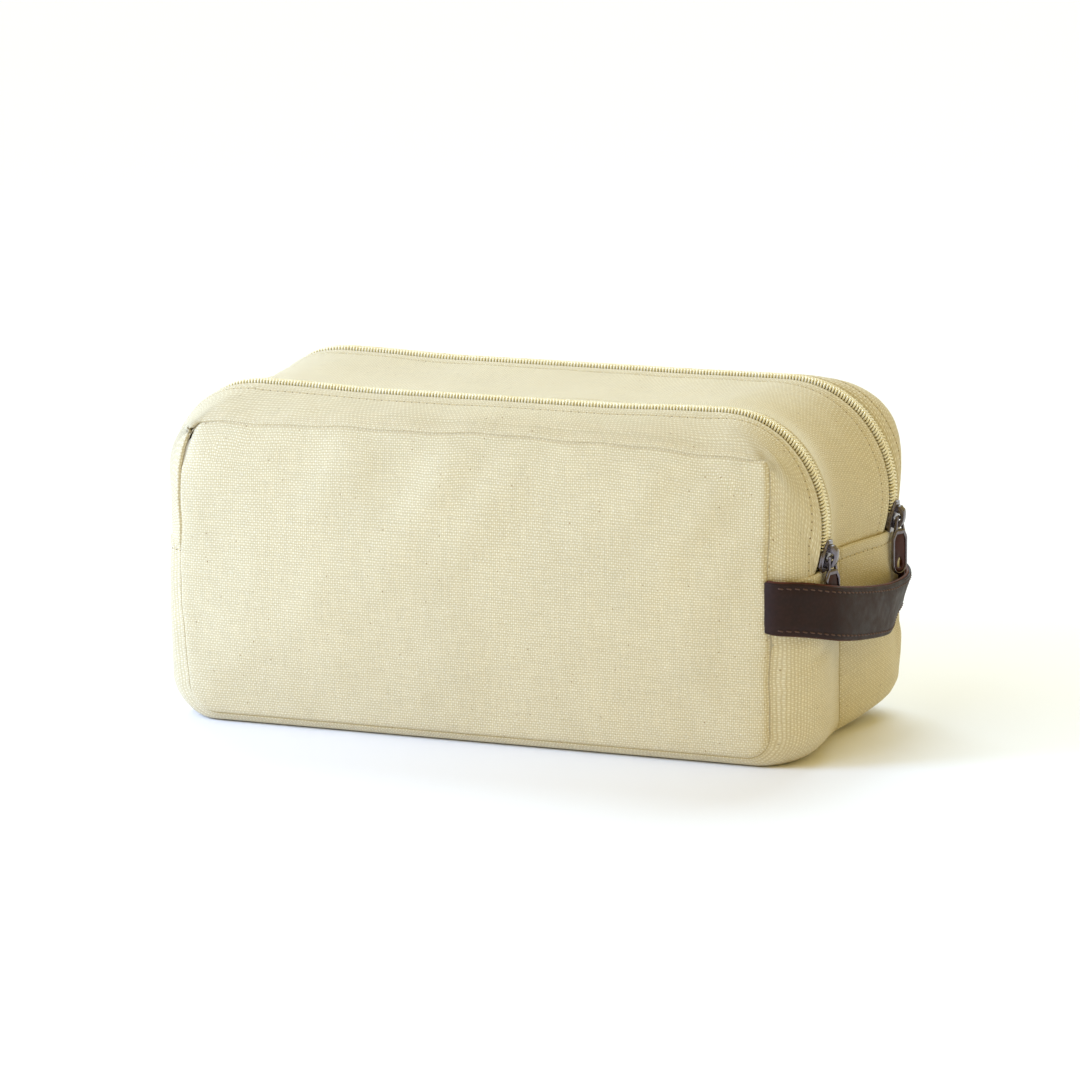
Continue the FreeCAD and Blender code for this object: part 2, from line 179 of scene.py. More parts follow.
def warp(P):
    """Gentle whole-bag shape: arched top seams and a fuller left end."""
    P = P.copy()
    x, y, z = P[..., 0], P[..., 1], P[..., 2]
    ay = np.abs(y)
    amp = 0.4 + 3.3 * smooth((ay - 47.0) / 14.0)
    P[..., 2] = z + amp * np.clip(1 - (x / 116.0) ** 2, 0, 1) * smooth((z - 60.0) / 50.0)
    near = smooth((ay - 56.5) / 3.0)
    P[..., 2] += near * smooth((z - 90.0) / 15.0) * (
        0.32 * np.sin(x / 9.5 + 0.8) + 0.22 * np.sin(x / 4.1 + 1.7) + 0.3 * np.sin(x / 23.0))
    P[..., 0] += near * np.sign(x) * smooth((np.abs(x) - 90.0) / 20.0) * (
        0.25 * np.sin(z / 7.0 + 0.4) + 0.15 * np.sin(z / 3.3))
    x, z = P[..., 0].copy(), P[..., 2].copy()
    left = smooth((-x - 60.0) / 55.0) * smooth((ay - 46.0) / 15.0)
    P[..., 0] = x - left * np.interp(z, [4, 14, 35, 60, 85, 100, 108, 117, 122],
                                     [0.0, 2.2, 4.3, 5.1, 5.1, 4.3, 2.2, -1.3, -1.8])
    fill = (1 - smooth(ay / 38.0)) * smooth((-P[..., 0] - 40.0) / 50.0) * smooth((P[..., 2] - 58.0) / 32.0)
    P[..., 0] -= 8.0 * fill
    P[..., 2] += 1.8 * fill
    # squarer top corners than a plain arc
    dx, dz = np.abs(x) - ZCX, z - ZCZ
    phi = np.degrees(np.arctan2(dz, np.maximum(dx, 1e-6)))
    k = np.interp(phi, *PUSH) * smooth((np.abs(x) - 45.0) / 45.0) * (dz > -14)
    k = np.where(np.hypot(np.maximum(dx, 0), dz) > 25.0, k, 0.0)
    amt = np.where(x < 0, 1.1, np.interp(y, [-20, 20, 44, 54], [1.0, 0.3, 0.35, 1.0]))
    k = k * amt * np.interp(ay, [0, 20, 50, 61], [0.55, 1.0, 1.0, 0.35])
    rad = np.maximum(np.hypot(np.maximum(dx, 0), dz), 1e-6)
    P[..., 0] += np.sign(x) * k * np.maximum(dx, 0) / rad
    P[..., 2] += k * dz / rad
    # the stuffed rear half rests a little higher at the right end
    lift = np.interp(y, [0, 20, 35, 50, 61], [0.0, 2.2, 4.8, 7.4, 8.6])
    P[..., 2] += lift * smooth((P[..., 0] - 20.0) / 95.0) * (1 - smooth(P[..., 2] / 50.0))
    P[..., 0] -= (3.1 * np.exp(-((y - 47.0) / 9.0) ** 2 - ((P[..., 2] - 43.0) / 9.5) ** 2)
                  * smooth((P[..., 0] - 100.0) / 20.0))
    # the rear edge of the right end stands out fuller
    P[..., 0] += (4.3 * smooth((y - 44.0) / 12.0) * smooth((x - 60.0) / 55.0)
                  * (0.15 + 0.85 * smooth((z - 8.0) / 42.0)))
    P[..., 0] += (np.interp(z, [0, 8, 15, 28, 38, 45, 57, 66, 75, 84, 92],
                            [0.35, 1.2, 3.0, 4.8, 5.4, 5.4, 5.2, 4.0, 2.0, 0.5, 0.0])
                  * smooth((y - 54.0) / 6.5) * smooth((x - 60.0) / 55.0))
    P[..., 0] += (np.interp(z, [0, 8, 15, 28, 34, 40], [0.2, 0.8, 1.5, 2.2, 1.6, 0.0])
                  * smooth((y - 42.0) / 10.0) * (1 - smooth((y - 54.0) / 7.0)) * smooth((x - 60.0) / 55.0))
    return P


def up_lines(nw=12, na=24, nt=72):
    return nw, na, nt


def up_grid(ys, zlow, inset=0.0, dens=1.0, at=None):
    """Surface over the top: rows follow ys, columns run from the right end's
    low edge over the top to the left end's low edge."""
    ys = np.asarray(ys, float)
    at = np.abs(ys) if at is None else at
    a, top, r, th = [f(at)[:, None] for f in UPF]
    inset = np.asarray(inset, float)
    inset = inset[:, None] if inset.ndim == 1 else inset
    cx, cz, rr = a - r, top - r, r - inset
    th = np.radians(th)
    nw, na, nt = int(12 * dens), int(24 * dens), int(72 * dens)
    w = np.linspace(0, 1, nw, endpoint=False)[None, :]
    w = w ** 1.25
    x0, z0 = cx + rr * np.cos(th), cz + rr * np.sin(th)
    wx, wz = x0 + 0 * w, zlow + (z0 - zlow) * w
    g = np.linspace(0, 1, na, endpoint=False)[None, :]
    ang = th + (np.pi / 2 - th) * g
    ax, az = cx + rr * np.cos(ang), cz + rr * np.sin(ang)
    t = np.linspace(1, 0, nt // 2, endpoint=False)[None, :]
    tx, tz = cx * t, (cz + rr) + 0 * t
    X = np.concatenate([wx, ax, tx], 1)
    Z = np.concatenate([wz, az, tz], 1)
    X = np.concatenate([X, 0 * x0, -X[:, ::-1]], 1)
    Z = np.concatenate([Z, cz + rr, Z[:, ::-1]], 1)
    Y = np.repeat(ys[:, None], X.shape[1], 1)
    return np.stack([X, Y, Z], -1)


def lo_grid(ys, ztop_lines, inset=0.0, hug=True, rise=1.0, at=None):
    """Lower gusset: from the right hem down, along the bottom, up the left."""
    ys = np.asarray(ys, float)
    at = np.abs(ys) if at is None else at
    a, b, r = [f(at)[:, None] for f in LOF]
    r = np.where(ys[:, None] > 0, LO_R_REAR(at)[:, None], r)
    au, tu, ru, th = [f(at)[:, None] for f in UPF]
    xu = au - ru + ru * np.cos(np.radians(th))
    inset = np.asarray(inset, float)
    inset = inset[:, None] if inset.ndim == 1 else inset
    zl = np.asarray(ztop_lines, float)[None, :] + 1.8 * (1 - smooth((np.abs(ys)[:, None] - 42.0) / 17.0)) * rise
    g = np.linspace(0, 1, 12)[None, :]
    z_arc = b + r
    low = np.linspace(0, 1, 20, endpoint=False)[None, 1:]
    z_last = zl[:, -1:]
    wz = np.concatenate([zl, z_last + (z_arc - z_last) * low], 1)
    wall = a - inset + 0 * wz
    k = smooth((wz - 54.0) / 18.0) if hug else 0 * wz
    lap = 1.6 - 1.4 * smooth((np.abs(ys)[:, None] - 45.0) / 9.0)
    tight = np.minimum(wall, xu + lap - inset)
    wx = wall + (tight - wall) * k
    ang = -np.pi / 2 * g
    rr = r - inset
    ax, az = a - r + rr * np.cos(ang), b + r + rr * np.sin(ang)
    t = np.linspace(1, 0, 34, endpoint=False)[None, 1:]
    bx, bz = (a - r) * t, b + inset + 0 * t
    X = np.concatenate([wx, ax, bx], 1)
    Z = np.concatenate([wz, az, bz], 1)
    X = np.concatenate([X, 0 * a, -X[:, ::-1]], 1)
    Z = np.concatenate([Z, b + inset, Z[:, ::-1]], 1)
    Y = np.repeat(ys[:, None], X.shape[1], 1)
    return np.stack([X, Y, Z], -1)


def normals(P, flip):
    du = np.gradient(P, axis=0)
    dv = np.gradient(P, axis=1)
    n = np.cross(du, dv)
    n /= np.maximum(np.linalg.norm(n, axis=-1, keepdims=True), 1e-9)
    return -n if flip else n


def cloth_coords(P):
    """Arc lengths along both grid directions, in metres."""
    du = np.linalg.norm(np.diff(P, axis=0), axis=-1)
    dv = np.linalg.norm(np.diff(P, axis=1), axis=-1)
    u = np.concatenate([np.zeros((1, P.shape[1])), np.cumsum(du, 0)], 0)
    mid = P.shape[0] // 2
    v = np.concatenate([[0], np.cumsum(dv[mid])])
    u = np.repeat(u[:, [P.shape[1] // 2]], P.shape[1], 1)
    v = np.repeat(v[None, :], P.shape[0], 0)
    return np.stack([v, u], -1) * MM


# ---------------------------------------------------------------- meshes
def make_mesh(name, V, F, UV=None, mats=(), mat_index=None, sharp=None):
    """V in mm, F quads; a quad whose last two corners match is a triangle."""
    F = np.asarray(F, np.int64)
    me = bpy.data.meshes.new(name)
    tri = F[:, 2] == F[:, 3]
    sizes = np.where(tri, 3, 4)
    starts = np.concatenate([[0], np.cumsum(sizes)[:-1]]).astype(np.int32)
    keep = np.ones(F.shape, bool)
    keep[tri, 3] = False
    loops = F[keep]
    me.vertices.add(len(V))
    me.vertices.foreach_set("co", (np.asarray(V) * MM).astype(np.float32).ravel())
    me.loops.add(len(loops))
    me.loops.foreach_set("vertex_index", loops.astype(np.int32))
    me.polygons.add(len(F))
    me.polygons.foreach_set("loop_start", starts)
    me.polygons.foreach_set("use_smooth", np.ones(len(F), bool))
    if UV is not None:
        lay = me.uv_layers.new(name="cloth", do_init=False)
        lay.uv.foreach_set("vector", np.asarray(UV)[loops].astype(np.float32).ravel())
    for m in mats:
        me.materials.append(m)
    if mat_index is not None:
        me.polygons.foreach_set("material_index", np.asarray(mat_index, np.int32))
    me.update(calc_edges=True)
    me.validate()
    if sharp:
        me.set_sharp_from_angle(angle=math.radians(sharp))
    ob = bpy.data.objects.new(name, me)
    bpy.context.scene.collection.objects.link(ob)
    return ob


def sheet_mesh(name, P, N, t, mats, UV=None, flip=False, back_mat=0):
    """Closed cloth shell: outer grid P, inner grid offset by t along -N and a
    rounded rim between them."""
    m, n = P.shape[:2]
    t = np.broadcast_to(np.asarray(t, float), (m, n))[..., None]
    Q = P - N * t
    UV = cloth_coords(P) if UV is None else UV
    idx = np.arange(m * n).reshape(m, n)
    a, b, c, d = idx[:-1, :-1], idx[1:, :-1], idx[1:, 1:], idx[:-1, 1:]
    f = np.stack([a, b, c, d], -1).reshape(-1, 4)
    if flip:
        f = f[:, ::-1]
    inner = f[:, ::-1] + m * n
    loop = np.concatenate([idx[0, :-1], idx[:-1, -1], idx[-1, :0:-1], idx[:0:-1, 0]])
    Pf, Qf, Nf, UVf = P.reshape(-1, 3), Q.reshape(-1, 3), N.reshape(-1, 3), UV.reshape(-1, 2)
    # outward direction in the sheet at each border vertex
    cen = {}
    out = np.zeros((len(loop), 3))
    ii, jj = np.unravel_index(loop, (m, n))
    for k, (i, j) in enumerate(zip(ii, jj)):
        i2 = 1 if i == 0 else (m - 2 if i == m - 1 else i)
        j2 = 1 if j == 0 else (n - 2 if j == n - 1 else j)
        out[k] = P[i, j] - P[i2, j2]
    out -= (out * Nf[loop]).sum(1, keepdims=True) * Nf[loop]
    out /= np.maximum(np.linalg.norm(out, axis=1, keepdims=True), 1e-9)
    tt = t.reshape(-1, 1)[loop]
    rim = (Pf[loop] + Qf[loop]) / 2 + out * tt * 0.42
    base = 2 * m * n
    k = np.arange(len(loop))
    k2 = (k + 1) % len(loop)
    r1 = np.stack([loop[k], base + k, base + k2, loop[k2]], -1)
    r2_ = np.stack([base + k, m * n + loop[k], m * n + loop[k2], base + k2], -1)
    rimf = np.concatenate([r1, r2_])
    if not flip:
        rimf = rimf[:, ::-1]
    F = np.concatenate([f, inner, rimf])
    V = np.concatenate([Pf, Qf, rim])
    UVa = np.concatenate([UVf, UVf, UVf[loop]])
    mi = np.concatenate([np.zeros(len(f)), np.full(len(inner), back_mat), np.zeros(len(rimf))])
    # the rim's winding is set by flip above
    return make_mesh(name, V, F, UVa, mats, mi)


def fix_normals(ob):
    import bmesh
    bm = bmesh.new()
    bm.from_mesh(ob.data)
    bmesh.ops.recalc_face_normals(bm, faces=bm.faces)
    bm.to_mesh(ob.data)
    bm.free()
    return ob


# -------------------------------------------------------------- materials
def new_mat(name):
    m = bpy.data.materials.new(name)
    m.use_nodes = True
    nt = m.node_tree
    for nd in list(nt.nodes):
        nt.nodes.remove(nd)
    out = nt.nodes.new("ShaderNodeOutputMaterial")
    bs = nt.nodes.new("ShaderNodeBsdfPrincipled")
    nt.links.new(bs.outputs[0], out.inputs[0])
    return m, nt, bs


class G:
    """Small helper to write node graphs as expressions."""

    def __init__(self, nt):
        self.nt = nt

    def node(self, kind, **kw):
        n = self.nt.nodes.new(kind)
        for k, v in kw.items():
            setattr(n, k, v)
        return n

    def link(self, src, dst):
        if hasattr(src, "links"):
            self.nt.links.new(src, dst)
        else:
            dst.default_value = src

    def math(self, op, a, b=None, c=None, clamp=False):
        n = self.node("ShaderNodeMath", operation=op, use_clamp=clamp)
        self.link(a, n.inputs[0])
        if b is not None:
            self.link(b, n.inputs[1])
        if c is not None:
            self.link(c, n.inputs[2])
        return n.outputs[0]

    def mix(self, f, a, b, blend="MIX"):
        n = self.node("ShaderNodeMix", data_type="RGBA", blend_type=blend)
        self.link(f, n.inputs[0])
        self.link(a, n.inputs[6])
        self.link(b, n.inputs[7])
        return n.outputs[2]

    def noise(self, vec, scale, detail=2.0, rough=0.5, dims="3D", distortion=0.0):
        n = self.node("ShaderNodeTexNoise", noise_dimensions=dims)
        self.link(vec, n.inputs["Vector"])
        n.inputs["Scale"].default_value = scale
        n.inputs["Detail"].default_value = detail
        n.inputs["Roughness"].default_value = rough
        n.inputs["Distortion"].default_value = distortion
        return n

    def ramp(self, fac, stops):
        n = self.node("ShaderNodeValToRGB")
        el = n.color_ramp.elements
        while len(el) < len(stops):
            el.new(0.5)
        for e, (p, c) in zip(el, stops):
            e.position = p
            e.color = c if len(c) == 4 else (*c, 1)
        self.link(fac, n.inputs[0])
        return n.outputs[0]

    def maprange(self, v, a, b, c, d, clamp=True):
        n = self.node("ShaderNodeMapRange", clamp=clamp)
        self.link(v, n.inputs[0])
        for i, x in enumerate((a, b, c, d)):
            n.inputs[i + 1].default_value = x
        return n.outputs[0]


def srgb(r, g, b):
    f = lambda c: c / 12.92 if c <= 0.04045 else ((c + 0.055) / 1.055) ** 2.4
    return tuple(f(v / 255.0) for v in (r, g, b)) + (1.0,)


def cloth_material(name, light, dark, pitch_mm, bump=0.5, depth=0.00016, flecks=True,
                   sheen=0.25, streak=0.06, rough=0.86, contrast=1.0):
    m, nt, bs = new_mat(name)
    g = G(nt)
    uv = g.node("ShaderNodeUVMap", uv_map="cloth").outputs[0]
    obj = g.node("ShaderNodeTexCoord").outputs["Object"]
    wob = g.noise(uv, 260.0, 2.0, 0.6, "2D")
    wv = g.node("ShaderNodeVectorMath", operation="SUBTRACT")
    g.link(wob.outputs["Color"], wv.inputs[0])
    wv.inputs[1].default_value = (0.5, 0.5, 0.5)
    ws = g.node("ShaderNodeVectorMath", operation="SCALE")
    g.link(wv.outputs[0], ws.inputs[0])
    ws.inputs["Scale"].default_value = 0.0007 * pitch_mm
    wa = g.node("ShaderNodeVectorMath", operation="ADD")
    g.link(uv, wa.inputs[0])
    g.link(ws.outputs[0], wa.inputs[1])
    sep = g.node("ShaderNodeSeparateXYZ")
    g.link(wa.outputs[0], sep.inputs[0])
    U = g.math("MULTIPLY", sep.outputs[0], math.pi / (0.78 * pitch_mm * MM))
    V = g.math("MULTIPLY", sep.outputs[1], math.pi / (0.97 * pitch_mm * MM))
    su, sv = g.math("SINE", U), g.math("SINE", V)
    au, av = g.math("ABSOLUTE", su), g.math("ABSOLUTE", sv)
    par = g.math("MULTIPLY", su, sv)
    side = g.maprange(par, -0.12, 0.12, 0.0, 1.0)
    hw = g.math("MULTIPLY", g.math("POWER", au, 1.1), g.math("POWER", av, 0.35))
    hf = g.math("MULTIPLY", g.math("POWER", av, 1.1), g.math("POWER", au, 0.35))
    mixh = g.node("ShaderNodeMix", data_type="FLOAT")
    g.link(side, mixh.inputs[0])
    g.link(hw, mixh.inputs[2])
    g.link(hf, mixh.inputs[3])
    # one set of threads stands prouder than the other; through the colour below it is also painted paler, a painted
    # highlight
    h = g.math("MULTIPLY", mixh.outputs[0], g.maprange(par, -0.6, 0.6, 0.55, 1.0))
    # thread-wise streaks (slubs) in both directions
    def stretched(sx, sy):
        mp = g.node("ShaderNodeMapping")
        g.link(uv, mp.inputs["Vector"])
        mp.inputs["Scale"].default_value = (sx, sy, 1.0)
        return g.noise(mp.outputs[0], 1.0, 2.0, 0.6, "2D").outputs["Fac"]
    s1 = stretched(1.0 / (pitch_mm * MM), 90.0)
    s2 = stretched(90.0, 1.0 / (pitch_mm * MM))
    slub = g.math("ADD", s1, s2)
    slub = g.maprange(slub, 0.6, 1.4, 1.0 - streak, 1.0 + streak, False)
    mott = g.noise(obj, 22.0, 3.0, 0.55).outputs["Fac"]
    mott = g.maprange(mott, 0.3, 0.7, 0.965, 1.03)
    shade = g.math("MULTIPLY", slub, mott)
    fuzz = g.noise(uv, 3200.0, 2.0, 0.7, "2D").outputs["Fac"]
    hh = g.math("ADD", h, g.math("MULTIPLY", fuzz, 0.35))
    # painted highlight and shade over the real weave: raised thread crests take the light colour, the gaps between
    # threads the dark one
    weave_shade = g.maprange(hh, 0.25, 1.15, 1.0 - 0.76 * contrast, 1.0)
    col = g.mix(weave_shade, dark, light)
    hsv = g.node("ShaderNodeHueSaturation")
    g.link(col, hsv.inputs["Color"])
    g.link(shade, hsv.inputs["Value"])
    col = hsv.outputs[0]
    if flecks:
        vo = g.node("ShaderNodeTexVoronoi", voronoi_dimensions="2D")
        g.link(uv, vo.inputs["Vector"])
        vo.inputs["Scale"].default_value = 170.0
        near = g.maprange(vo.outputs["Distance"], 0.03, 0.065, 1.0, 0.0)
        sepc = g.node("ShaderNodeSeparateColor")
        g.link(vo.outputs["Color"], sepc.inputs[0])
        pick = g.maprange(sepc.outputs[0], 0.80, 0.86, 0.0, 1.0)
        amount = g.math("MULTIPLY", g.math("MULTIPLY", near, pick),
                        g.maprange(sepc.outputs[1], 0.0, 1.0, 0.25, 0.85))
        col = g.mix(amount, col, srgb(140, 105, 50))
        # pale neps
        v2 = g.node("ShaderNodeTexVoronoi", voronoi_dimensions="2D")
        g.link(uv, v2.inputs["Vector"])
        v2.inputs["Scale"].default_value = 95.0
        n2 = g.maprange(v2.outputs["Distance"], 0.03, 0.06, 0.16, 0.0)
        col = g.mix(n2, col, srgb(250, 246, 232))
    g.link(col, bs.inputs["Base Color"])
    rr = g.maprange(hh, 0.2, 1.2, rough + 0.07, rough - 0.05)
    g.link(rr, bs.inputs["Roughness"])
    bs.inputs["Specular IOR Level"].default_value = 0.22
    bs.inputs["Sheen Weight"].default_value = sheen
    bs.inputs["Sheen Roughness"].default_value = 0.6
    bp = g.node("ShaderNodeBump")
    bp.inputs["Strength"].default_value = bump
    bp.inputs["Distance"].default_value = depth
    g.link(hh, bp.inputs["Height"])
    g.link(bp.outputs[0], bs.inputs["Normal"])
    return m


def leather_material(name, base, deep, rough=0.48, grain=900.0):
    m, nt, bs = new_mat(name)
    g = G(nt)
    obj = g.node("ShaderNodeTexCoord").outputs["Object"]
    vo = g.node("ShaderNodeTexVoronoi", feature="SMOOTH_F1")
    g.link(obj, vo.inputs["Vector"])
    vo.inputs["Scale"].default_value = grain
    n1 = g.noise(obj, 60.0, 4.0, 0.6).outputs["Fac"]
    n2 = g.noise(obj, 1500.0, 3.0, 0.6).outputs["Fac"]
    n3 = g.noise(obj, 240.0, 3.0, 0.6).outputs["Fac"]
    f = g.maprange(g.math("ADD", n1, g.math("MULTIPLY", n3, 0.5)), 0.55, 0.95, 0.0, 1.0)
    col = g.mix(f, deep, base)
    crease = g.maprange(vo.outputs["Distance"], 0.0, 0.6, 1.0, 0.82)
    hsv = g.node("ShaderNodeHueSaturation")
    g.link(col, hsv.inputs["Color"])
    g.link(crease, hsv.inputs["Value"])
    g.link(hsv.outputs[0], bs.inputs["Base Color"])
    g.link(g.maprange(n3, 0.3, 0.7, rough - 0.07, rough + 0.10), bs.inputs["Roughness"])
    bs.inputs["Specular IOR Level"].default_value = 0.2
    h = g.math("ADD", g.math("MULTIPLY", vo.outputs["Distance"], -0.7),
               g.math("MULTIPLY", n2, 0.5))
    bp = g.node("ShaderNodeBump")
    bp.inputs["Strength"].default_value = 0.35
    bp.inputs["Distance"].default_value = 0.00012
    g.link(h, bp.inputs["Height"])
    g.link(bp.outputs[0], bs.inputs["Normal"])
    return m


def metal_material(name, color, rough=0.22):
    m, nt, bs = new_mat(name)
    g = G(nt)
    obj = g.node("ShaderNodeTexCoord").outputs["Object"]
    n1 = g.noise(obj, 420.0, 4.0, 0.65).outputs["Fac"]
    mp = g.node("ShaderNodeMapping")
    g.link(obj, mp.inputs["Vector"])
    mp.inputs["Scale"].default_value = (1.0, 1.0, 0.08)
    n2 = g.noise(mp.outputs[0], 6000.0, 2.0, 0.6).outputs["Fac"]
    c = g.mix(g.maprange(n1, 0.35, 0.7, 0.0, 1.0), tuple(0.72 * v for v in color[:3]) + (1,), color)
    g.link(c, bs.inputs["Base Color"])
    g.link(g.maprange(g.math("ADD", n1, g.math("MULTIPLY", n2, 0.4)), 0.4, 1.0,
                      rough - 0.06, rough + 0.14), bs.inputs["Roughness"])
    bs.inputs["Metallic"].default_value = 1.0
    bp = g.node("ShaderNodeBump")
    bp.inputs["Strength"].default_value = 0.12
    bp.inputs["Distance"].default_value = 0.00004
    g.link(n2, bp.inputs["Height"])
    g.link(bp.outputs[0], bs.inputs["Normal"])
    return m


def thread_material(name, color, dark):
    m, nt, bs = new_mat(name)
    g = G(nt)
    obj = g.node("ShaderNodeTexCoord").outputs["Object"]
    wv = g.node("ShaderNodeTexWave", wave_type="BANDS", bands_direction="DIAGONAL")
    g.link(obj, wv.inputs["Vector"])
    wv.inputs["Scale"].default_value = 1100.0
    wv.inputs["Distortion"].default_value = 1.5
    n1 = g.noise(obj, 300.0, 2.0, 0.6).outputs["Fac"]
    f = g.math("MULTIPLY", wv.outputs["Fac"], g.maprange(n1, 0.3, 0.7, 0.7, 1.0))
    g.link(g.mix(f, dark, color), bs.inputs["Base Color"])
    g.link(g.maprange(f, 0.0, 1.0, 0.75, 0.55), bs.inputs["Roughness"])
    bp = g.node("ShaderNodeBump")
    bp.inputs["Strength"].default_value = 0.4
    bp.inputs["Distance"].default_value = 0.00008
    g.link(wv.outputs["Fac"], bp.inputs["Height"])
    g.link(bp.outputs[0], bs.inputs["Normal"])
    return m


def nylon_material(name, color, dark):
    m, nt, bs = new_mat(name)
    g = G(nt)
    obj = g.node("ShaderNodeTexCoord").outputs["Object"]
    n1 = g.noise(obj, 160.0, 3.0, 0.6).outputs["Fac"]
    n2 = g.noise(obj, 2400.0, 2.0, 0.6).outputs["Fac"]
    g.link(g.mix(g.maprange(n1, 0.3, 0.7, 0.0, 1.0), dark, color), bs.inputs["Base Color"])
    g.link(g.maprange(n2, 0.3, 0.7, 0.34, 0.5), bs.inputs["Roughness"])
    bs.inputs["Specular IOR Level"].default_value = 0.45
    bp = g.node("ShaderNodeBump")
    bp.inputs["Strength"].default_value = 0.15
    bp.inputs["Distance"].default_value = 0.00005
    g.link(n2, bp.inputs["Height"])
    g.link(bp.outputs[0], bs.inputs["Normal"])
    return m


# each cloth's first colour is its painted highlight on thread crests, and its second is the painted shade between
# threads
CANVAS = cloth_material("canvas", srgb(240, 232, 205), srgb(186, 164, 106), 1.0, bump=0.75, depth=0.0002)
LINING = cloth_material("lining_cloth", srgb(214, 204, 178), srgb(150, 136, 104), 0.45,
                        flecks=False, streak=0.05, depth=0.00006, rough=0.72)
TAPE = cloth_material("zip_tape_weave", srgb(244, 235, 200), srgb(202, 182, 124), 0.6,
                      flecks=False, streak=0.04, depth=0.0001, rough=0.7)
COIL = nylon_material("zip_coil_nylon", srgb(253, 247, 222), srgb(243, 231, 190))
THREAD = thread_material("canvas_thread", srgb(236, 224, 188), srgb(190, 168, 112))
# painted shade: dark olive-brown dots stand in for the shade inside each needle hole
HOLE_SHADE = thread_material("hole_shade_paint", srgb(128, 100, 46), srgb(92, 68, 28))
LEATHER = leather_material("strap_leather", srgb(52, 33, 30), srgb(41, 25, 23), 0.56)
LEATHER_IN = leather_material("strap_backing", srgb(104, 58, 46), srgb(78, 42, 34), 0.6, 1200.0)
LEATHER_PULL = leather_material("pull_inset_leather", srgb(74, 36, 30), srgb(52, 24, 20), 0.4)
STRAP_THREAD = thread_material("strap_thread", srgb(104, 74, 60), srgb(66, 44, 36))
METAL = metal_material("gunmetal", (0.215, 0.19, 0.205, 1.0), 0.2)

# ------------------------------------------------------------ canvas pieces
SHEETS = []


def wrinkle(P, seed, amp=1.0):
    h = 0.55 * noise3(P, 46.0, seed) + 0.22 * noise3(P, 17.0, seed + 1) + 0.08 * noise3(P, 7.0, seed + 2)
    return amp * h


def strip_piece(side):
    s = -1 if side == "front" else 1
    turn = np.array([58.4, 60.2, 60.7, 61.05, 61.22, 61.25])
    ay = np.concatenate([turn, [61.0, 60.6, 60.1, 59.5, 58.9, 58.4, 57.9, 57.3, 56.6, 55.8, 54.6, 53.2, 51.9,
                         50.8, 50.1, 49.8, 49.5, 49.2, 48.9, 48.2, 47.3, 46.5, 46.0, 45.6, 45.3,
                         45.12, 45.0]])
    inset = roll_in(ay - 45.0, 0.9, 0.8)
    inset[:9] = [1.8, 1.62, 1.45, 1.12, 0.70, 0.35, 0.08, 0.0, 0.0]
    inset += 0.30 * bump1(ay, 49.5, 0.5) - 0.35 * smooth((48.8 - ay) / 1.2) * 1.0
    at = ay.copy()
    at[:6] = 61.0
    P = warp(up_grid(s * ay, 70.2, inset, 1.4, at))
    # the rim sinks beside the panel down the right end
    P[..., 1] -= s * 1.5 * smooth((np.abs(P[..., 1]) - 57.0) / 4.2) * smooth((P[..., 0] - 112.0) / 5.0)
    N = normals(P, side == "rear")
    e = np.maximum(60.6 - np.abs(P[..., 1]), 0) * (np.arange(len(ay)) > 5)[:, None]
    amp = np.clip(e / 5.0, 0, 1) * np.clip((np.abs(P[..., 1]) - 44.6) / 5.0, 0, 1)
    h = wrinkle(P, 3 if s < 0 else 5, 0.9) * amp
    if s < 0:
        h -= 0.62 * bump1(e, 1.55, 0.5) * smooth((P[..., 0] + 25) / 14) * smooth((108 - P[..., 0]) / 12) * (P[..., 2] > 100)
    if s < 0:
        X_, Z_ = P[..., 0], P[..., 2]
        h -= 1.0 * bump1(Z_, 115.2, 0.9) * smooth((-X_ - 116.0) / 1.5) * smooth((np.abs(P[..., 1]) - 52.5) / 4.0)
        h += 0.5 * bump1(Z_, 118.0, 2.0) * smooth((-X_ - 114.0) / 3.0) * smooth((np.abs(P[..., 1]) - 52.5) / 4.0)
    # short puckers from the seam stitches
    arc = cloth_coords(P)[..., 0] / MM
    h += 0.16 * np.sin(arc / 5.3 + 2.5 * noise3(P, 30.0, 8)) * bump1(e, 3.2, 2.2)
    P = P + N * h[..., None]
    t = 1.1 + 0.9 * smooth((51.5 - ay) / 1.5)[:, None] + 0 * P[..., 0]
    ob = sheet_mesh("canvas_%s_zip_strip" % side, P, normals(P, side == "rear"), t, [CANVAS], flip=side == "rear")
    return ob, P


def band_piece():
    ay = [35.0, 34.88, 34.7, 34.4, 34.0, 33.5, 32.6, 31.6, 31.0, 30.7, 30.4, 30.1, 29.4, 28.2, 26.5]
    mid = list(np.linspace(24.5, -24.5, 26))
    ys = np.array([-v for v in ay] + mid[::-1] + ay[::-1])
    a = np.abs(ys)
    inset = roll_in(35.0 - a, 0.9, 0.8) + 0.30 * bump1(a, 30.4, 0.5) - 0.35 * smooth((a - 31.2) / 1.2)
    P = warp(up_grid(ys, 66.5, inset, 1.4))
    N = normals(P, False)
    amp = np.clip((35.4 - np.abs(P[..., 1])) / 7.0, 0, 1)
    P = P + N * (wrinkle(P, 11, 1.3) * amp)[..., None]
    t = 1.1 + 0.9 * smooth((a - 28.5) / 1.5)[:, None] + 0 * P[..., 0]
    return sheet_mesh("canvas_centre_band", P, normals(P, False), t, [CANVAS]), P


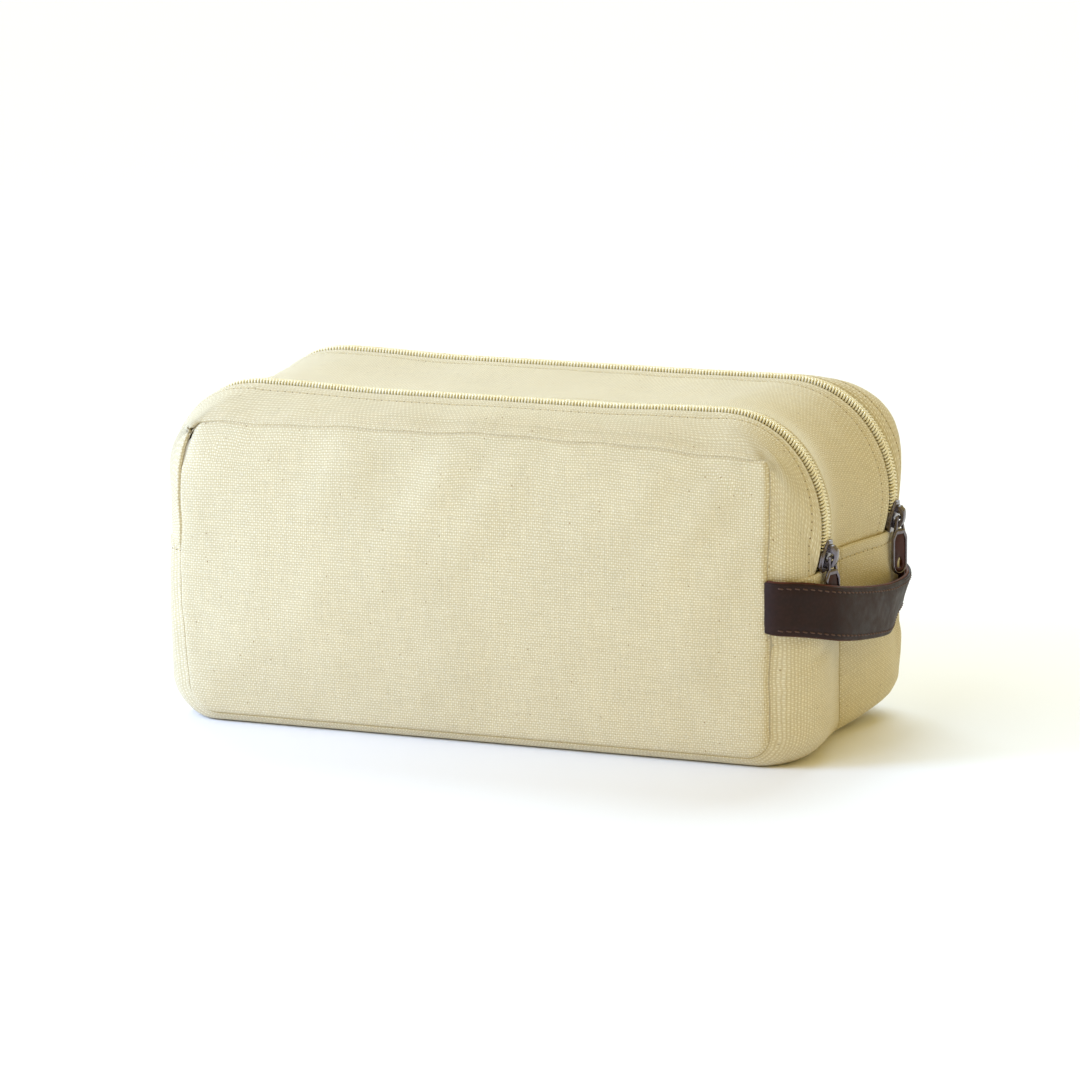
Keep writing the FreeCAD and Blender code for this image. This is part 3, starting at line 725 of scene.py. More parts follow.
def gusset_piece(side):
    s = -1 if side == "front" else 1
    turn = np.array([58.4, 60.2, 60.7, 61.05, 61.22, 61.25])
    ay = np.concatenate([turn, [61.0, 60.6, 60.1, 59.4, 58.4, 57.0, 55.4, 53.6, 51.8, 50.0, 47.8,
                   45.4, 43.0, 40.2, 37.4, 34.6, 31.8, 29.0, 26.2, 23.4, 20.6, 17.8, 15.0, 12.4,
                   10.0, 7.8, 5.9, 4.3, 3.0, 2.0, 1.3, 0.8, 0.45, 0.25]])
    curl = np.zeros(len(ay))
    curl[:9] = [1.8, 1.62, 1.45, 1.12, 0.70, 0.35, 0.08, 0.0, 0.0]
    zl = [72.0, 71.9, 71.65, 71.25, 70.6, 69.6, 68.6, 67.8, 67.3, 66.9, 66.0, 64.4, 62.2]
    at = ay.copy()
    at[:6] = 61.0
    P = lo_grid(s * ay, zl, 0.0, at=at)
    P[..., 1] -= s * 1.5 * smooth((np.abs(P[..., 1]) - 57.0) / 4.2)
    P[..., 0] += (1.15 * smooth((P[..., 2] - 56.0) / 12.0) * (P[..., 0] < -90)
                  * (1 - smooth((np.abs(P[..., 1]) - 46.0) / 9.0)))
    ncol = P.shape[1]
    # distance along the path from the hem, for the hem's edge and its stitches
    d = np.concatenate([[0], np.cumsum(np.linalg.norm(np.diff(P[22], axis=0), axis=1))])
    d = np.minimum(d, d[-1] - d)[None, :]
    ins = curl[:, None] + roll_in(ay - 0.25, 1.6, 0.9)[:, None] + 0 * d
    ins = ins + roll_in(d, 0.9, 0.8) + 0.28 * bump1(d, 4.7, 0.5) - 0.3 * smooth((4.0 - d) / 1.0)
    N = normals(P, side == "front")
    N[:9] = N[9]
    N[:10, :, 1] = 0.0
    N[:10] /= np.linalg.norm(N[:10], axis=-1, keepdims=True)
    P = P - N * ins[..., None]
    P = warp(P)
    N = normals(P, side == "front")
    z = P[..., 2]
    free = smooth((z - 1.5) / 16.0)                      # the bottom lies flat
    e = np.maximum(60.6 - np.abs(P[..., 1]), 0) * (np.arange(len(ay)) > 5)[:, None]
    amp = np.clip(e / 6.0, 0, 1) * free * np.clip(d / 8.0, 0.25, 1)
    h = wrinkle(P, 17 if s < 0 else 19, 1.5) * amp
    arc = d * 1.0
    h += 0.18 * np.sin(arc / 5.0 + 2.5 * noise3(P, 30.0, 9)) * bump1(e, 3.2, 2.4) * free
    if s < 0:
        # drag folds below the strap's front end
        Y_, Z_, r_ = P[..., 1], P[..., 2], P[..., 0] > 100
        h -= 1.1 * bump1(Z_ - (41.5 + 0.35 * (Y_ + 48)), 0, 1.6) * smooth((Y_ + 56) / 6) * smooth((-28 - Y_) / 10) * r_
        h -= 0.9 * bump1(Z_ - (49.5 + 0.3 * (Y_ + 57)), 0, 1.3) * smooth((-46 - Y_) / 6) * r_
    P = P + N * h[..., None]
    P[..., 2] = np.maximum(P[..., 2], 0.02)
    t = 1.1 + 0.8 * smooth((6.0 - d) / 1.5) + 0 * P[..., 0]
    return sheet_mesh("canvas_%s_gusset" % side, P, normals(P, side == "front"), t, [CANVAS], flip=side == "front"), P


def panel_piece(side):
    s = -1 if side == "front" else 1
    edge = [0.0, 0.03, 0.12, 0.3, 0.6, 1.0, 1.6, 2.4, 3.5, 5.0, 7.2, 9.8]

    def lines(lo, hi, n):
        return np.array([lo + e for e in edge] + list(np.linspace(lo + 12.5, hi - 12.5, n)) + [hi - e for e in edge[::-1]])
    W, zb, zt = 117.75, 4.1, 117.35
    gx, gz = lines(-W, W, 84), lines(zb, zt, 36)
    X, Z = np.meshgrid(gx, gz)
    x, z = X.copy(), Z.copy()
    for sx in (-1, 1):
        for top, r in ((1, 2.6), (0, 9.6)):
            cx = sx * (W - r)
            cz = zt - r if top else zb + r
            px, pz = (X - cx) * sx / r, (Z - cz) * (1 if top else -1) / r
            k = (px > 0) & (pz > 0)
            qx = px * np.sqrt(np.maximum(1 - pz ** 2 / 2, 0))
            qz = pz * np.sqrt(np.maximum(1 - px ** 2 / 2, 0))
            x[k] = (cx + sx * r * qx)[k]
            z[k] = (cz + (1 if top else -1) * r * qz)[k]
    # distance to the outline
    def dist(x, z):
        r = np.where(z > 60, 2.6, 9.6)
        hx, cz, hz = W, (zb + zt) / 2, (zt - zb) / 2
        dx, dz = np.abs(x) - (hx - r), np.abs(z - cz) - (hz - r)
        o = np.hypot(np.maximum(dx, 0), np.maximum(dz, 0)) + np.minimum(np.maximum(dx, dz), 0) - r
        return -o
    e = np.maximum(dist(x, z), 0)
    crown = 0.75 * (1 - np.exp(-e / 3.0)) + 1.9 * (1 - np.exp(-e / 18.0))
    belly = 1.2 * np.exp(-((z - 46.0) / 34.0) ** 2) * smooth(e / 40.0)
    y = SEAM_Y + 0.25 - roll_in(e, 1.5, 1.85) - 0.9 * (e < 0.01) + crown + belly
    # the lower gussets are a little wider than the strips
    x = x * (1 + 0.0048 * smooth((84 - z) / 24.0))
    if s < 0:
        slit = smooth((z - 94.0) / 16.0) * bump1(x, -W, 3.2)
        y = y - 1.5 * slit
        x = x + 0.9 * slit
    P = np.stack([x, s * y, z], -1)
    P = warp(P)
    N = normals(P, side == "rear")
    if N[20, 50, 1] * s < 0:
        N = -N
    amp = np.clip(e / 7.0, 0, 1)
    h = wrinkle(P, 23 if s < 0 else 29, 1.75) * amp
    # puckers at the seams
    ang = (x + z * 1.7)
    h += 0.15 * np.sin(ang / 3.6 + 2.2 * noise3(P, 26.0, 4)) * bump1(e, 4.0, 2.8)
    # broad soft folds that run down from the top seam
    run = (x * 0.80 - z * 0.60)
    h += 1.6 * noise3(np.stack([run, 0 * run, (x * 0.6 + z * 0.8) * 0.22], -1), 17.0, 6) * smooth(e / 14.0) * smooth((z - 30) / 70.0)
    P = P + N * h[..., None]
    fl = np.sign(normals(P, False)[20, 50, 1] * s) < 0
    N = normals(P, fl)
    UV = np.stack([x, z], -1) * MM
    return sheet_mesh("canvas_%s_panel" % ("front" if s < 0 else "back"), P, N, 1.1, [CANVAS], UV=UV, flip=bool(fl)), P


# ------------------------------------------------- stitches along a path
def resample(path, step):
    d = np.concatenate([[0], np.cumsum(np.linalg.norm(np.diff(path, axis=0), axis=1))])
    n = max(2, int(d[-1] / step))
    q = np.linspace(0, d[-1], n)
    return np.stack([np.interp(q, d, path[:, k]) for k in range(path.shape[1])], 1), d[-1]


def stitch_run(path, nrm, pitch, length, rad, lift, tilt=0.0, ns=7, nr=6):
    """Vertices and faces of a row of stitches. lift raises their middles."""
    path = np.asarray(path, float)
    both, total = resample(np.concatenate([path, nrm], 1), 0.25)
    p, n = both[:, :3], both[:, 3:]
    n /= np.linalg.norm(n, axis=1, keepdims=True)
    d = np.linspace(0, total, len(p))
    count = int(total / pitch)
    Vs, Fs, holes = [], [], []
    for k in range(count):
        c = (k + 0.5) * total / count
        q = np.linspace(c - length / 2, c + length / 2, ns)
        pp = np.stack([np.interp(q, d, p[:, i]) for i in range(3)], 1)
        nn = np.stack([np.interp(q, d, n[:, i]) for i in range(3)], 1)
        nn /= np.linalg.norm(nn, axis=1, keepdims=True)
        tt = np.gradient(pp, axis=0)
        tt /= np.linalg.norm(tt, axis=1, keepdims=True)
        bb = np.cross(tt, nn)
        u = np.linspace(-1, 1, ns)
        prof = np.sqrt(np.clip(1 - np.abs(u) ** 4, 0.02, 1))
        rise = lift * (1 - u ** 2) - rad * 0.9 * u ** 4
        pp = pp + nn * rise[:, None] + bb * (tilt * u)[:, None]
        ang = np.linspace(0, 2 * np.pi, nr, endpoint=False)
        ring = (pp[:, None, :] + rad * prof[:, None, None] * (
            np.cos(ang)[None, :, None] * bb[:, None, :] + np.sin(ang)[None, :, None] * nn[:, None, :]))
        base = sum(len(v) for v in Vs)
        Vs.append(np.concatenate([ring.reshape(-1, 3), pp[:1], pp[-1:]]))
        i = np.arange(ns - 1)[:, None]
        j = np.arange(nr)[None, :]
        a, b = base + i * nr + j, base + i * nr + (j + 1) % nr
        Fs.append(np.stack([a, a + nr, b + nr, b], -1).reshape(-1, 4))
        c0, c1 = base + ns * nr, base + ns * nr + 1
        jj = np.arange(nr)
        Fs.append(np.stack([base + jj, base + (jj + 1) % nr, np.full(nr, c0), np.full(nr, c0)], -1))
        e0 = base + (ns - 1) * nr
        Fs.append(np.stack([e0 + (jj + 1) % nr, e0 + jj, np.full(nr, c1), np.full(nr, c1)], -1))
    return np.concatenate(Vs), np.concatenate(Fs)


# small dark discs laid on the cloth at each needle hole of a stitch row: painted shade standing in for the holes
def painted_hole_shades(path, nrm, pitch, rad, sink):
    path = np.asarray(path, float)
    both, total = resample(np.concatenate([path, nrm], 1), 0.25)
    p, n = both[:, :3], both[:, 3:]
    n /= np.linalg.norm(n, axis=1, keepdims=True)
    d = np.linspace(0, total, len(p))
    count = int(total / pitch)
    Vs, Fs = [], []
    ang = np.linspace(0, 2 * np.pi, 6, endpoint=False)
    for k in range(count + 1):
        q = min(max(k * total / count, 0.01), total - 0.01)
        c = np.array([np.interp(q, d, p[:, i]) for i in range(3)])
        nn = np.array([np.interp(q, d, n[:, i]) for i in range(3)])
        nn /= np.linalg.norm(nn)
        q2 = min(q + 0.3, total)
        tt = np.array([np.interp(q2, d, p[:, i]) for i in range(3)]) - np.array([np.interp(q2 - 0.3, d, p[:, i]) for i in range(3)])
        tt -= nn * (tt @ nn)
        tt /= np.linalg.norm(tt)
        bb = np.cross(tt, nn)
        base = sum(len(v) for v in Vs)
        rings = []
        for h, rr in ((-0.25, 0.8), (0.02, 1.0), (0.10, 0.55)):
            rings.append(c + nn * (h - sink) + rad * rr * (np.cos(ang)[:, None] * bb * 0.85 + np.sin(ang)[:, None] * tt * 0.85))
        Vs.append(np.concatenate(rings + [[c + nn * (0.11 - sink)], [c - nn * 0.3]]))
        j = np.arange(6)
        for r_ in range(2):
            a, b = base + r_ * 6 + j, base + r_ * 6 + (j + 1) % 6
            Fs.append(np.stack([a, b, b + 6, a + 6], -1))
        Fs.append(np.stack([base + 12 + j, base + 12 + (j + 1) % 6, np.full(6, base + 18), np.full(6, base + 18)], -1))
        Fs.append(np.stack([base + (j + 1) % 6, base + j, np.full(6, base + 19), np.full(6, base + 19)], -1))
    return np.concatenate(Vs), np.concatenate(Fs)


def join(parts):
    V, F, n = [], [], 0
    for v, f in parts:
        V.append(v)
        F.append(np.asarray(f) + n)
        n += len(v)
    return np.concatenate(V), np.concatenate(F)


def row_path(P, flip, i):
    N = normals(P, flip)
    return P[i], N[i]


def blend_front(ob):
    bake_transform(ob)


def blend_rear(ob):
    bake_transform(ob)


BL = {"front": blend_front, "rear": blend_rear}

strips, gussets, panels = {}, {}, {}
for side in ("front", "rear"):
    ob, P = strip_piece(side)
    fix_normals(ob)
    BL[side](ob)
    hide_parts(side + "_zip_strip")
    strips[side] = (ob, P)
    ob, P = gusset_piece(side)
    fix_normals(ob)
    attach(ob, "bag")
    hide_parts(side + "_gusset")
    gussets[side] = (ob, P)
    ob, P = panel_piece(side)
    fix_normals(ob)
    BL[side](ob)
    nm = "front" if side == "front" else "back"
    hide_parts(nm + "_panel_lower", nm + "_panel_upper")
    panels[side] = (ob, P)
band, band_P = band_piece()
fix_normals(band)
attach(band, "bag")
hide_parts("centre_band")

# topstitching: one row on each strip, two on the band, one below each hem, each with dark discs at its needle holes as
# painted shade
for side in ("front", "rear"):
    P = strips[side][1]
    path, nn = row_path(P, side == "rear", int(np.abs(np.abs(P[:, 40, 1]) - 49.5).argmin()))
    k = slice(3, len(path) - 3)
    V, F = stitch_run(path[k], nn[k], 3.1, 2.5, 0.20, 0.10)
    ob = make_mesh("topstitch_%s_strip" % side, V, F, None, [THREAD])
    BL[side](ob)
    V, F = painted_hole_shades(path[k], nn[k], 3.1, 0.46, 0.0)
    ob = make_mesh("needle_holes_%s_strip" % side, V, F, None, [HOLE_SHADE])
    BL[side](ob)
sp, hp = [], []
for i in (10, band_P.shape[0] - 11):
    path, nn = row_path(band_P, False, i)
    k = slice(6, len(path) - 6)
    sp.append(stitch_run(path[k], nn[k], 3.1, 2.5, 0.20, 0.10))
    hp.append(painted_hole_shades(path[k], nn[k], 3.1, 0.46, 0.0))
for side in ("front", "rear"):
    P = gussets[side][1]
    N = normals(P, side == "front")
    for col in (8, P.shape[1] - 9):
        path, nn = P[4:-4, col], N[4:-4, col]
        sp.append(stitch_run(path, nn, 3.1, 2.5, 0.20, 0.10))
        hp.append(painted_hole_shades(path, nn, 3.1, 0.46, 0.0))
for nm, parts, mat in (("topstitch_band_and_hems", sp, THREAD), ("hole_shade_dots_band_and_hems", hp, HOLE_SHADE)):
    V, F = join(parts)
    ob = make_mesh(nm, V, F, None, [mat])
    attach(ob, "bag")

# --------------------------------------------------------------- zips
T_IN = 1.7


def zip_path(y, off, zlow, n_arc=60):
    """Centre line of the zip in the x-z plane, pushed out by off."""
    th = math.radians(-19.5)
    r = ZIP_R + off
    ang = np.linspace(th, math.pi / 2, n_arc)
    ax, az = ZCX + r * np.cos(ang), ZCZ + r * np.sin(ang)
    wall_z = np.arange(zlow, az[0] - 0.5, 1.0)
    X = np.concatenate([0 * wall_z + ax[0], ax, np.linspace(ZCX, -ZCX, 120)[1:-1], -ax[::-1], 0 * wall_z - ax[0]])
    Z = np.concatenate([wall_z, az, np.full(118, ZCZ + r), az[::-1], wall_z[::-1]])
    P = np.stack([X, 0 * X + y, Z], -1)
    return warp(P)


def coil_row(side, outer):
    s = -1 if side == "front" else 1
    yc = s * ZIP_Y
    away = s if outer else -s           # from the zip line towards this row's tape
    centre = zip_path(yc, 0.0, 67.0)
    nrm_path = zip_path(yc, 1.0, 67.0) - centre
    both, total = resample(np.concatenate([centre, nrm_path], 1), 0.2)
    d = np.linspace(0, total, len(both))
    pitch = 1.28
    count = int(total / pitch)
    # a tooth in (across, out): from the tape edge over the top to the head
    prof = np.array([[2.75, -0.75], [2.95, 0.0], [2.45, 0.62], [1.30, 0.78], [0.30, 0.72], [-0.42, 0.5], [-0.62, 0.0], [-0.30, -0.45], [0.9, -0.65]])
    slant = np.array([-0.42, -0.46, -0.34, -0.05, 0.2, 0.36, 0.4, 0.3, 0.0]) * 1.25
    rads = np.array([0.34, 0.43, 0.48, 0.48, 0.48, 0.49, 0.45, 0.38, 0.32])
    Vs, Fs = [], []
    nr = 6
    ang = np.linspace(0, 2 * np.pi, nr, endpoint=False)
    ydir = np.array([0, 1.0, 0])
    for k in range(count):
        c = (k + (0.25 if outer else 0.75)) * pitch
        if c > total - 0.3:
            break
        o = np.array([np.interp(c, d, both[:, i]) for i in range(3)])
        n = np.array([np.interp(c, d, both[:, 3 + i]) for i in range(3)])
        n /= np.linalg.norm(n)
        c2 = min(c + 0.3, total)
        t = np.array([np.interp(c2, d, both[:, i]) for i in range(3)]) - np.array([np.interp(c2 - 0.3, d, both[:, i]) for i in range(3)])
        t[1] = 0
        t /= np.linalg.norm(t)
        pts = o + away * ydir * prof[:, :1] + n * prof[:, 1:2] + t * slant[:, None]
        tt = np.gradient(pts, axis=0)
        tt /= np.linalg.norm(tt, axis=1, keepdims=True)
        b1 = np.repeat(t[None], len(pts), 0)
        b1 -= (b1 * tt).sum(1, keepdims=True) * tt
        b1 /= np.linalg.norm(b1, axis=1, keepdims=True)
        b2 = np.cross(tt, b1)
        ring = pts[:, None] + rads[:, None, None] * (np.cos(ang)[None, :, None] * b1[:, None] * 0.95 + np.sin(ang)[None, :, None] * b2[:, None])
        base = k * (len(pts) * nr + 2)
        Vs.append(np.concatenate([ring.reshape(-1, 3), pts[:1], pts[-1:]]))
        i = np.arange(len(pts) - 1)[:, None]
        j = np.arange(nr)[None, :]
        a, b = base + i * nr + j, base + i * nr + (j + 1) % nr
        Fs.append(np.stack([a, b, b + nr, a + nr], -1).reshape(-1, 4))
        jj = np.arange(nr)
        c0 = base + len(pts) * nr
        e0 = base + (len(pts) - 1) * nr
        Fs.append(np.stack([base + (jj + 1) % nr, base + jj, np.full(nr, c0), np.full(nr, c0)], -1))
        Fs.append(np.stack([e0 + jj, e0 + (jj + 1) % nr, np.full(nr, c0 + 1), np.full(nr, c0 + 1)], -1))
    return make_mesh("zip_coil_%s_%s" % (side, "outer" if outer else "inner"), np.concatenate(Vs), np.concatenate(Fs), None, [COIL])


def tape_piece(side, outer):
    s = -1 if side == "front" else 1
    if outer:
        ay = np.array([52.0, 50.0, 48.0, 46.5, 45.2, 44.2, 43.4, 42.6, 41.8, 41.0, 40.35])
        inset = 1.15 + 0.95 * smooth((ay - 43.2) / 3.0)
    else:
        ay = np.array([39.65, 39.0, 38.2, 37.4, 36.6, 35.8, 34.8, 33.4, 32.0, 30.0, 28.0])
        inset = 1.15 + 0.95 * smooth((36.8 - ay) / 3.0)
    ys = s * ay
    P = warp(up_grid(ys, 66.8, inset, 1.0))
    flip = side == "rear"
    N = normals(P, flip)
    N = N * np.sign((N * (P - np.array([0, 0, 60.0])) * np.array([1, 0, 1])).sum(-1))[..., None]
    ob = sheet_mesh("zip_tape_%s_%s" % (side, "outer" if outer else "inner"), P, N, 0.45, [TAPE], flip=flip)
    return fix_normals(ob)


for side in ("front", "rear"):
    for outer in (True, False):
        io = "outer" if outer else "inner"
        tp = tape_piece(side, outer)
        cl = coil_row(side, outer)
        fix_normals(cl)
        if outer:
            BL[side](tp)
            BL[side](cl)
            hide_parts(side + "_zip_tape_outer", side + "_zip_end")
        else:
            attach(tp, "bag")
            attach(cl, "bag")
            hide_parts(side + "_zip_tape_inner")
        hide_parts(side + "_zip_coil_" + io)

# ------------------------------------------------ bevelled metal pieces
import bmesh


def bevelled(name, solids, width, mat, segments=2):
    """Joins prism solids made with bmesh, bevels their edges."""
    bm = bmesh.new()
    for pts, axis, lo, hi in solids:
        vs = []
        for p in pts:
            vs.append(bm.verts.new(axis(p, lo)))
        face = bm.faces.new(vs)
        r = bmesh.ops.extrude_face_region(bm, geom=[face])
        nv = [v for v in r["geom"] if isinstance(v, bmesh.types.BMVert)]
        d = axis(pts[0], hi) - axis(pts[0], lo)
        bmesh.ops.translate(bm, verts=nv, vec=d)
    bmesh.ops.recalc_face_normals(bm, faces=bm.faces)
    eds = [e for e in bm.edges if len(e.link_faces) == 2 and e.calc_face_angle(0) > math.radians(25)]
    bmesh.ops.bevel(bm, geom=eds, offset=width, segments=segments, profile=0.6, affect="EDGES", clamp_overlap=True)
    me = bpy.data.meshes.new(name)
    bm.to_mesh(me)
    bm.free()
    me.materials.append(mat)
    for p in me.polygons:
        p.use_smooth = True
    me.set_sharp_from_angle(angle=math.radians(50))
    ob = bpy.data.objects.new(name, me)
    bpy.context.scene.collection.objects.link(ob)
    return ob


def slider_piece(side):
    s = -1 if side == "front" else 1
    c, sn = math.cos(math.radians(SLIDER_DEG)), math.sin(math.radians(SLIDER_DEG))
    er, et = Vector((c, 0, sn)), Vector((-sn, 0, c))
    o = Vector((ZCX, s * ZIP_Y, ZCZ)) + er * ZIP_R
    ey = Vector((0, 1, 0))

    def in_r(p, h):      # outline in (s, w), height r
        return (o + et * p[0] + ey * p[1] + er * h) * MM

    def in_w(p, h):      # outline in (s, r), along w
        return (o + et * p[0] + er * p[1] + ey * h) * MM
    hl, w = 6.2, 4.35
    half = [(-hl, 2.9), (-hl + 0.5, 3.9), (-hl + 1.8, w), (-1.0, w), (1.4, w - 0.15), (3.6, w - 0.8), (5.2, w - 1.9), (hl, 1.6)]
    plan = half + [(a, -b) for a, b in half[::-1]]
    small = [(a * 0.97, b * 0.96) for a, b in plan]
    solids = [(plan, in_r, 0.72, 1.95), (small, in_r, -3.9, -3.0)]
    for sgn in (1, -1):
        fl = [(-hl + 0.6, sgn * 3.55), (-hl + 1.8, sgn * w), (-1.0, sgn * w), (1.6, sgn * (w - 0.2)), (1.6, sgn * (w - 0.95)), (-1.0, sgn * (w - 0.8)), (-hl + 1.8, sgn * (w - 0.8))]
        solids.append((fl if sgn > 0 else fl[::-1], in_r, -0.35, 1.0))
        solids.append((fl if sgn > 0 else fl[::-1], in_r, -3.1, -2.45))
    solids.append(([(1.5, -0.8), (4.6, -0.45), (4.6, 0.45), (1.5, 0.8)], in_r, -3.1, 0.9))
    # bridge: an arch along the slider, thicker at its feet
    n = 9
    outer = [(-4.5, 1.7), (-4.6, 3.4)] + [(-3.9 * math.cos(math.pi * k / (n - 1)), 4.2 + 1.5 * math.sin(math.pi * k / (n - 1))) for k in range(n)] + [(4.6, 3.4), (4.5, 1.7)]
    inner = [(1.7, 1.7), (1.6, 3.2)] + [(1.5 * math.cos(math.pi * k / (n - 1)), 3.7 + 0.75 * math.sin(math.pi * k / (n - 1))) for k in range(n)] + [(-1.6, 3.2), (-1.7, 1.7)]
    solids.append((outer + inner, in_w, -1.45, 1.45))
    ob = bevelled("slider_" + side, solids, 0.00022, METAL)
    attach(ob, side + "_slider")
    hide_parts(side + "_zip_slider")
    return ob


PIN_X, PIN_Z, PULL = 136.191, 78.867, 22.5


def loop_outline(half, z0, z1, r, n=10):
    """Outline points of a tab: (half[0], z0) followed by the points in half[1]."""
    pts = [(half[0], z0)] + [h for h in half[1]]
    return pts


def pull_piece(side):
    s = -1 if side == "front" else 1
    yc = s * ZIP_Y
    base = Vector((PIN_X, yc, PIN_Z))

    yaw = math.radians(-24.0 if side == "rear" else -20.0)
    cy, sy = math.cos(yaw), math.sin(yaw)

    def in_x(p, h):
        k = float(smooth(-p[1] / 5.0))           # the bar stays in the bridge
        c_, s_ = 1 + (cy - 1) * k, sy * k
        return (base + Vector((h * c_ - p[0] * s_, h * s_ + p[0] * c_, p[1]))) * MM
    # rim: an outer oval tab with a slot for the inset and a drop-shaped hole
    def tab(wt, wm, zt, zb, n=14):
        pts = [(-wt, zt)]
        pts += [(-wt - (wm - wt) * smooth(k / 4.0), zt + (-3.2) * k / 4.0) for k in range(1, 5)]
        r = wm
        for k in range(n + 1):
            t = math.pi + math.pi * k / n
            pts.append((r * math.cos(t), zb + r + r * math.sin(t)))
        pts += [(-a, b) for a, b in pts[1:5][::-1]]
        pts.append((wt, zt))
        return [(float(a), float(b)) for a, b in pts]
    outer = tab(2.6, 3.95, -4.6, -PULL)
    inner = tab(1.7, 3.05, -6.2, -PULL + 0.95)
    bm = bmesh.new()
    N = len(outer)
    assert len(inner) == N

    def ring(pts, h):
        return [bm.verts.new(in_x(p, h)) for p in pts]
    # rounded rim section around the loop between outer and inner outlines
    sec = []
    for f, h in ((0.0, 0.35), (0.0, -0.35), (0.22, -0.72), (0.78, -0.72), (1.0, -0.35), (1.0, 0.45), (0.74, 0.80), (0.26, 0.80)):
        pts = [(a[0] + (b[0] - a[0]) * f, a[1] + (b[1] - a[1]) * f) for a, b in zip(outer, inner)]
        sec.append(ring(pts, h))
    for i in range(len(sec)):
        A, B = sec[i], sec[(i + 1) % len(sec)]
        for k in range(N):
            k2 = (k + 1) % N
            bm.faces.new([A[k], A[k2], B[k2], B[k]])
    bmesh.ops.recalc_face_normals(bm, faces=bm.faces)
    me = bpy.data.meshes.new("pull_rim_" + side)
    bm.to_mesh(me)
    bm.free()
    me.materials.append(METAL)
    for p in me.polygons:
        p.use_smooth = True
    rim = bpy.data.objects.new("pull_rim_" + side, me)
    bpy.context.scene.collection.objects.link(rim)
    # backing plate, with the drop-shaped hole left open
    hole = []
    for k in range(16):
        t = 2 * math.pi * k / 16
        rr = 1.55
        hole.append((rr * math.sin(t) * (1 - 0.35 * max(0, math.cos(t))), -PULL + 4.0 + rr * math.cos(t) * (1.9 if math.cos(t) > 0 else 1.0)))
    # eye: bar through the bridge and two arms down to the rim
    solids = []
    arm = [(-3.1, 0.75), (-1.95, 0.75), (-1.75, -5.1), (-2.7, -5.3)]
    solids.append((arm, in_x, -0.62, 0.62))
    solids.append(([(-a, b) for a, b in arm][::-1], in_x, -0.62, 0.62))
    solids.append(([(-3.1, -0.62), (3.1, -0.62), (3.1, 0.72), (-3.1, 0.72)], in_x, -0.66, 0.66))
    solids.append(([(-2.7, -6.6), (2.7, -6.6), (2.4, -4.9), (-2.4, -4.9)], in_x, -0.7, 0.75))
    eye = bevelled("pull_eye_" + side, solids, 0.0003, METAL, 3)
    # plate behind the inset: ring strip between the inner rim line and the hole
    bm = bmesh.new()
    m2 = 24
    inn = [(a * 0.985, b) for a, b in inner]
    ctr = (0.0, -PULL + 4.6)
    def along(pts, ang):
        best = None
        for k in range(len(pts)):
            p, q = pts[k], pts[(k + 1) % len(pts)]
            dx, dz = math.cos(ang), math.sin(ang)
            ex, ez = q[0] - p[0], q[1] - p[1]
            den = dx * ez - dz * ex
            if abs(den) < 1e-9:
                continue
            t = ((p[0] - ctr[0]) * ez - (p[1] - ctr[1]) * ex) / den
            u = ((p[0] - ctr[0]) * dz - (p[1] - ctr[1]) * dx) / den
            if t > 0 and -1e-6 <= u <= 1 + 1e-6 and (best is None or t > best):
                best = t
        return (ctr[0] + best * math.cos(ang), ctr[1] + best * math.sin(ang))
    angs = [2 * math.pi * k / 48 for k in range(48)]
    outp = [along(inn, a) for a in angs]
    inp = [along(hole, a) for a in angs]
    return rim, eye, outp, inp, in_x


def plate_ring(name, outp, inp, in_x, h0, h1, mat, grow=0.0, domed=0.0):
    bm = bmesh.new()
    n = len(outp)
    rows = []
    fr = [0.0, 0.06, 0.5, 0.94, 1.0]
    hh = [h1 - 0.14, h1, h1 + domed, h1, h1 - 0.10]
    for f, h in zip(fr, hh):
        rows.append([bm.verts.new(in_x((a[0] + (b[0] - a[0]) * f, a[1] + (b[1] - a[1]) * f), h)) for a, b in zip(outp, inp)])
    rows.append([bm.verts.new(in_x(b, h0)) for b in inp])
    rows.append([bm.verts.new(in_x(a, h0)) for a in outp])
    for i in range(len(rows)):
        A, B = rows[i], rows[(i + 1) % len(rows)]
        for k in range(n):
            k2 = (k + 1) % n
            bm.faces.new([A[k], A[k2], B[k2], B[k]])
    bmesh.ops.recalc_face_normals(bm, faces=bm.faces)
    me = bpy.data.meshes.new(name)
    bm.to_mesh(me)
    bm.free()
    me.materials.append(mat)
    for p in me.polygons:
        p.use_smooth = True
    me.set_sharp_from_angle(angle=math.radians(50))
    ob = bpy.data.objects.new(name, me)
    bpy.context.scene.collection.objects.link(ob)
    return ob


for side in ("front", "rear"):
    slider_piece(side)
    rim, eye, outp, inp, in_x = pull_piece(side)
    plate = plate_ring("pull_inset_plate_" + side, outp, inp, in_x, -0.45, 0.40, LEATHER_PULL, domed=0.16)
    for o_ in (rim, eye, plate):
        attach(o_, side + "_pull")
    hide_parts(side + "_zip_pull")
    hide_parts(side + "_pull_inset")

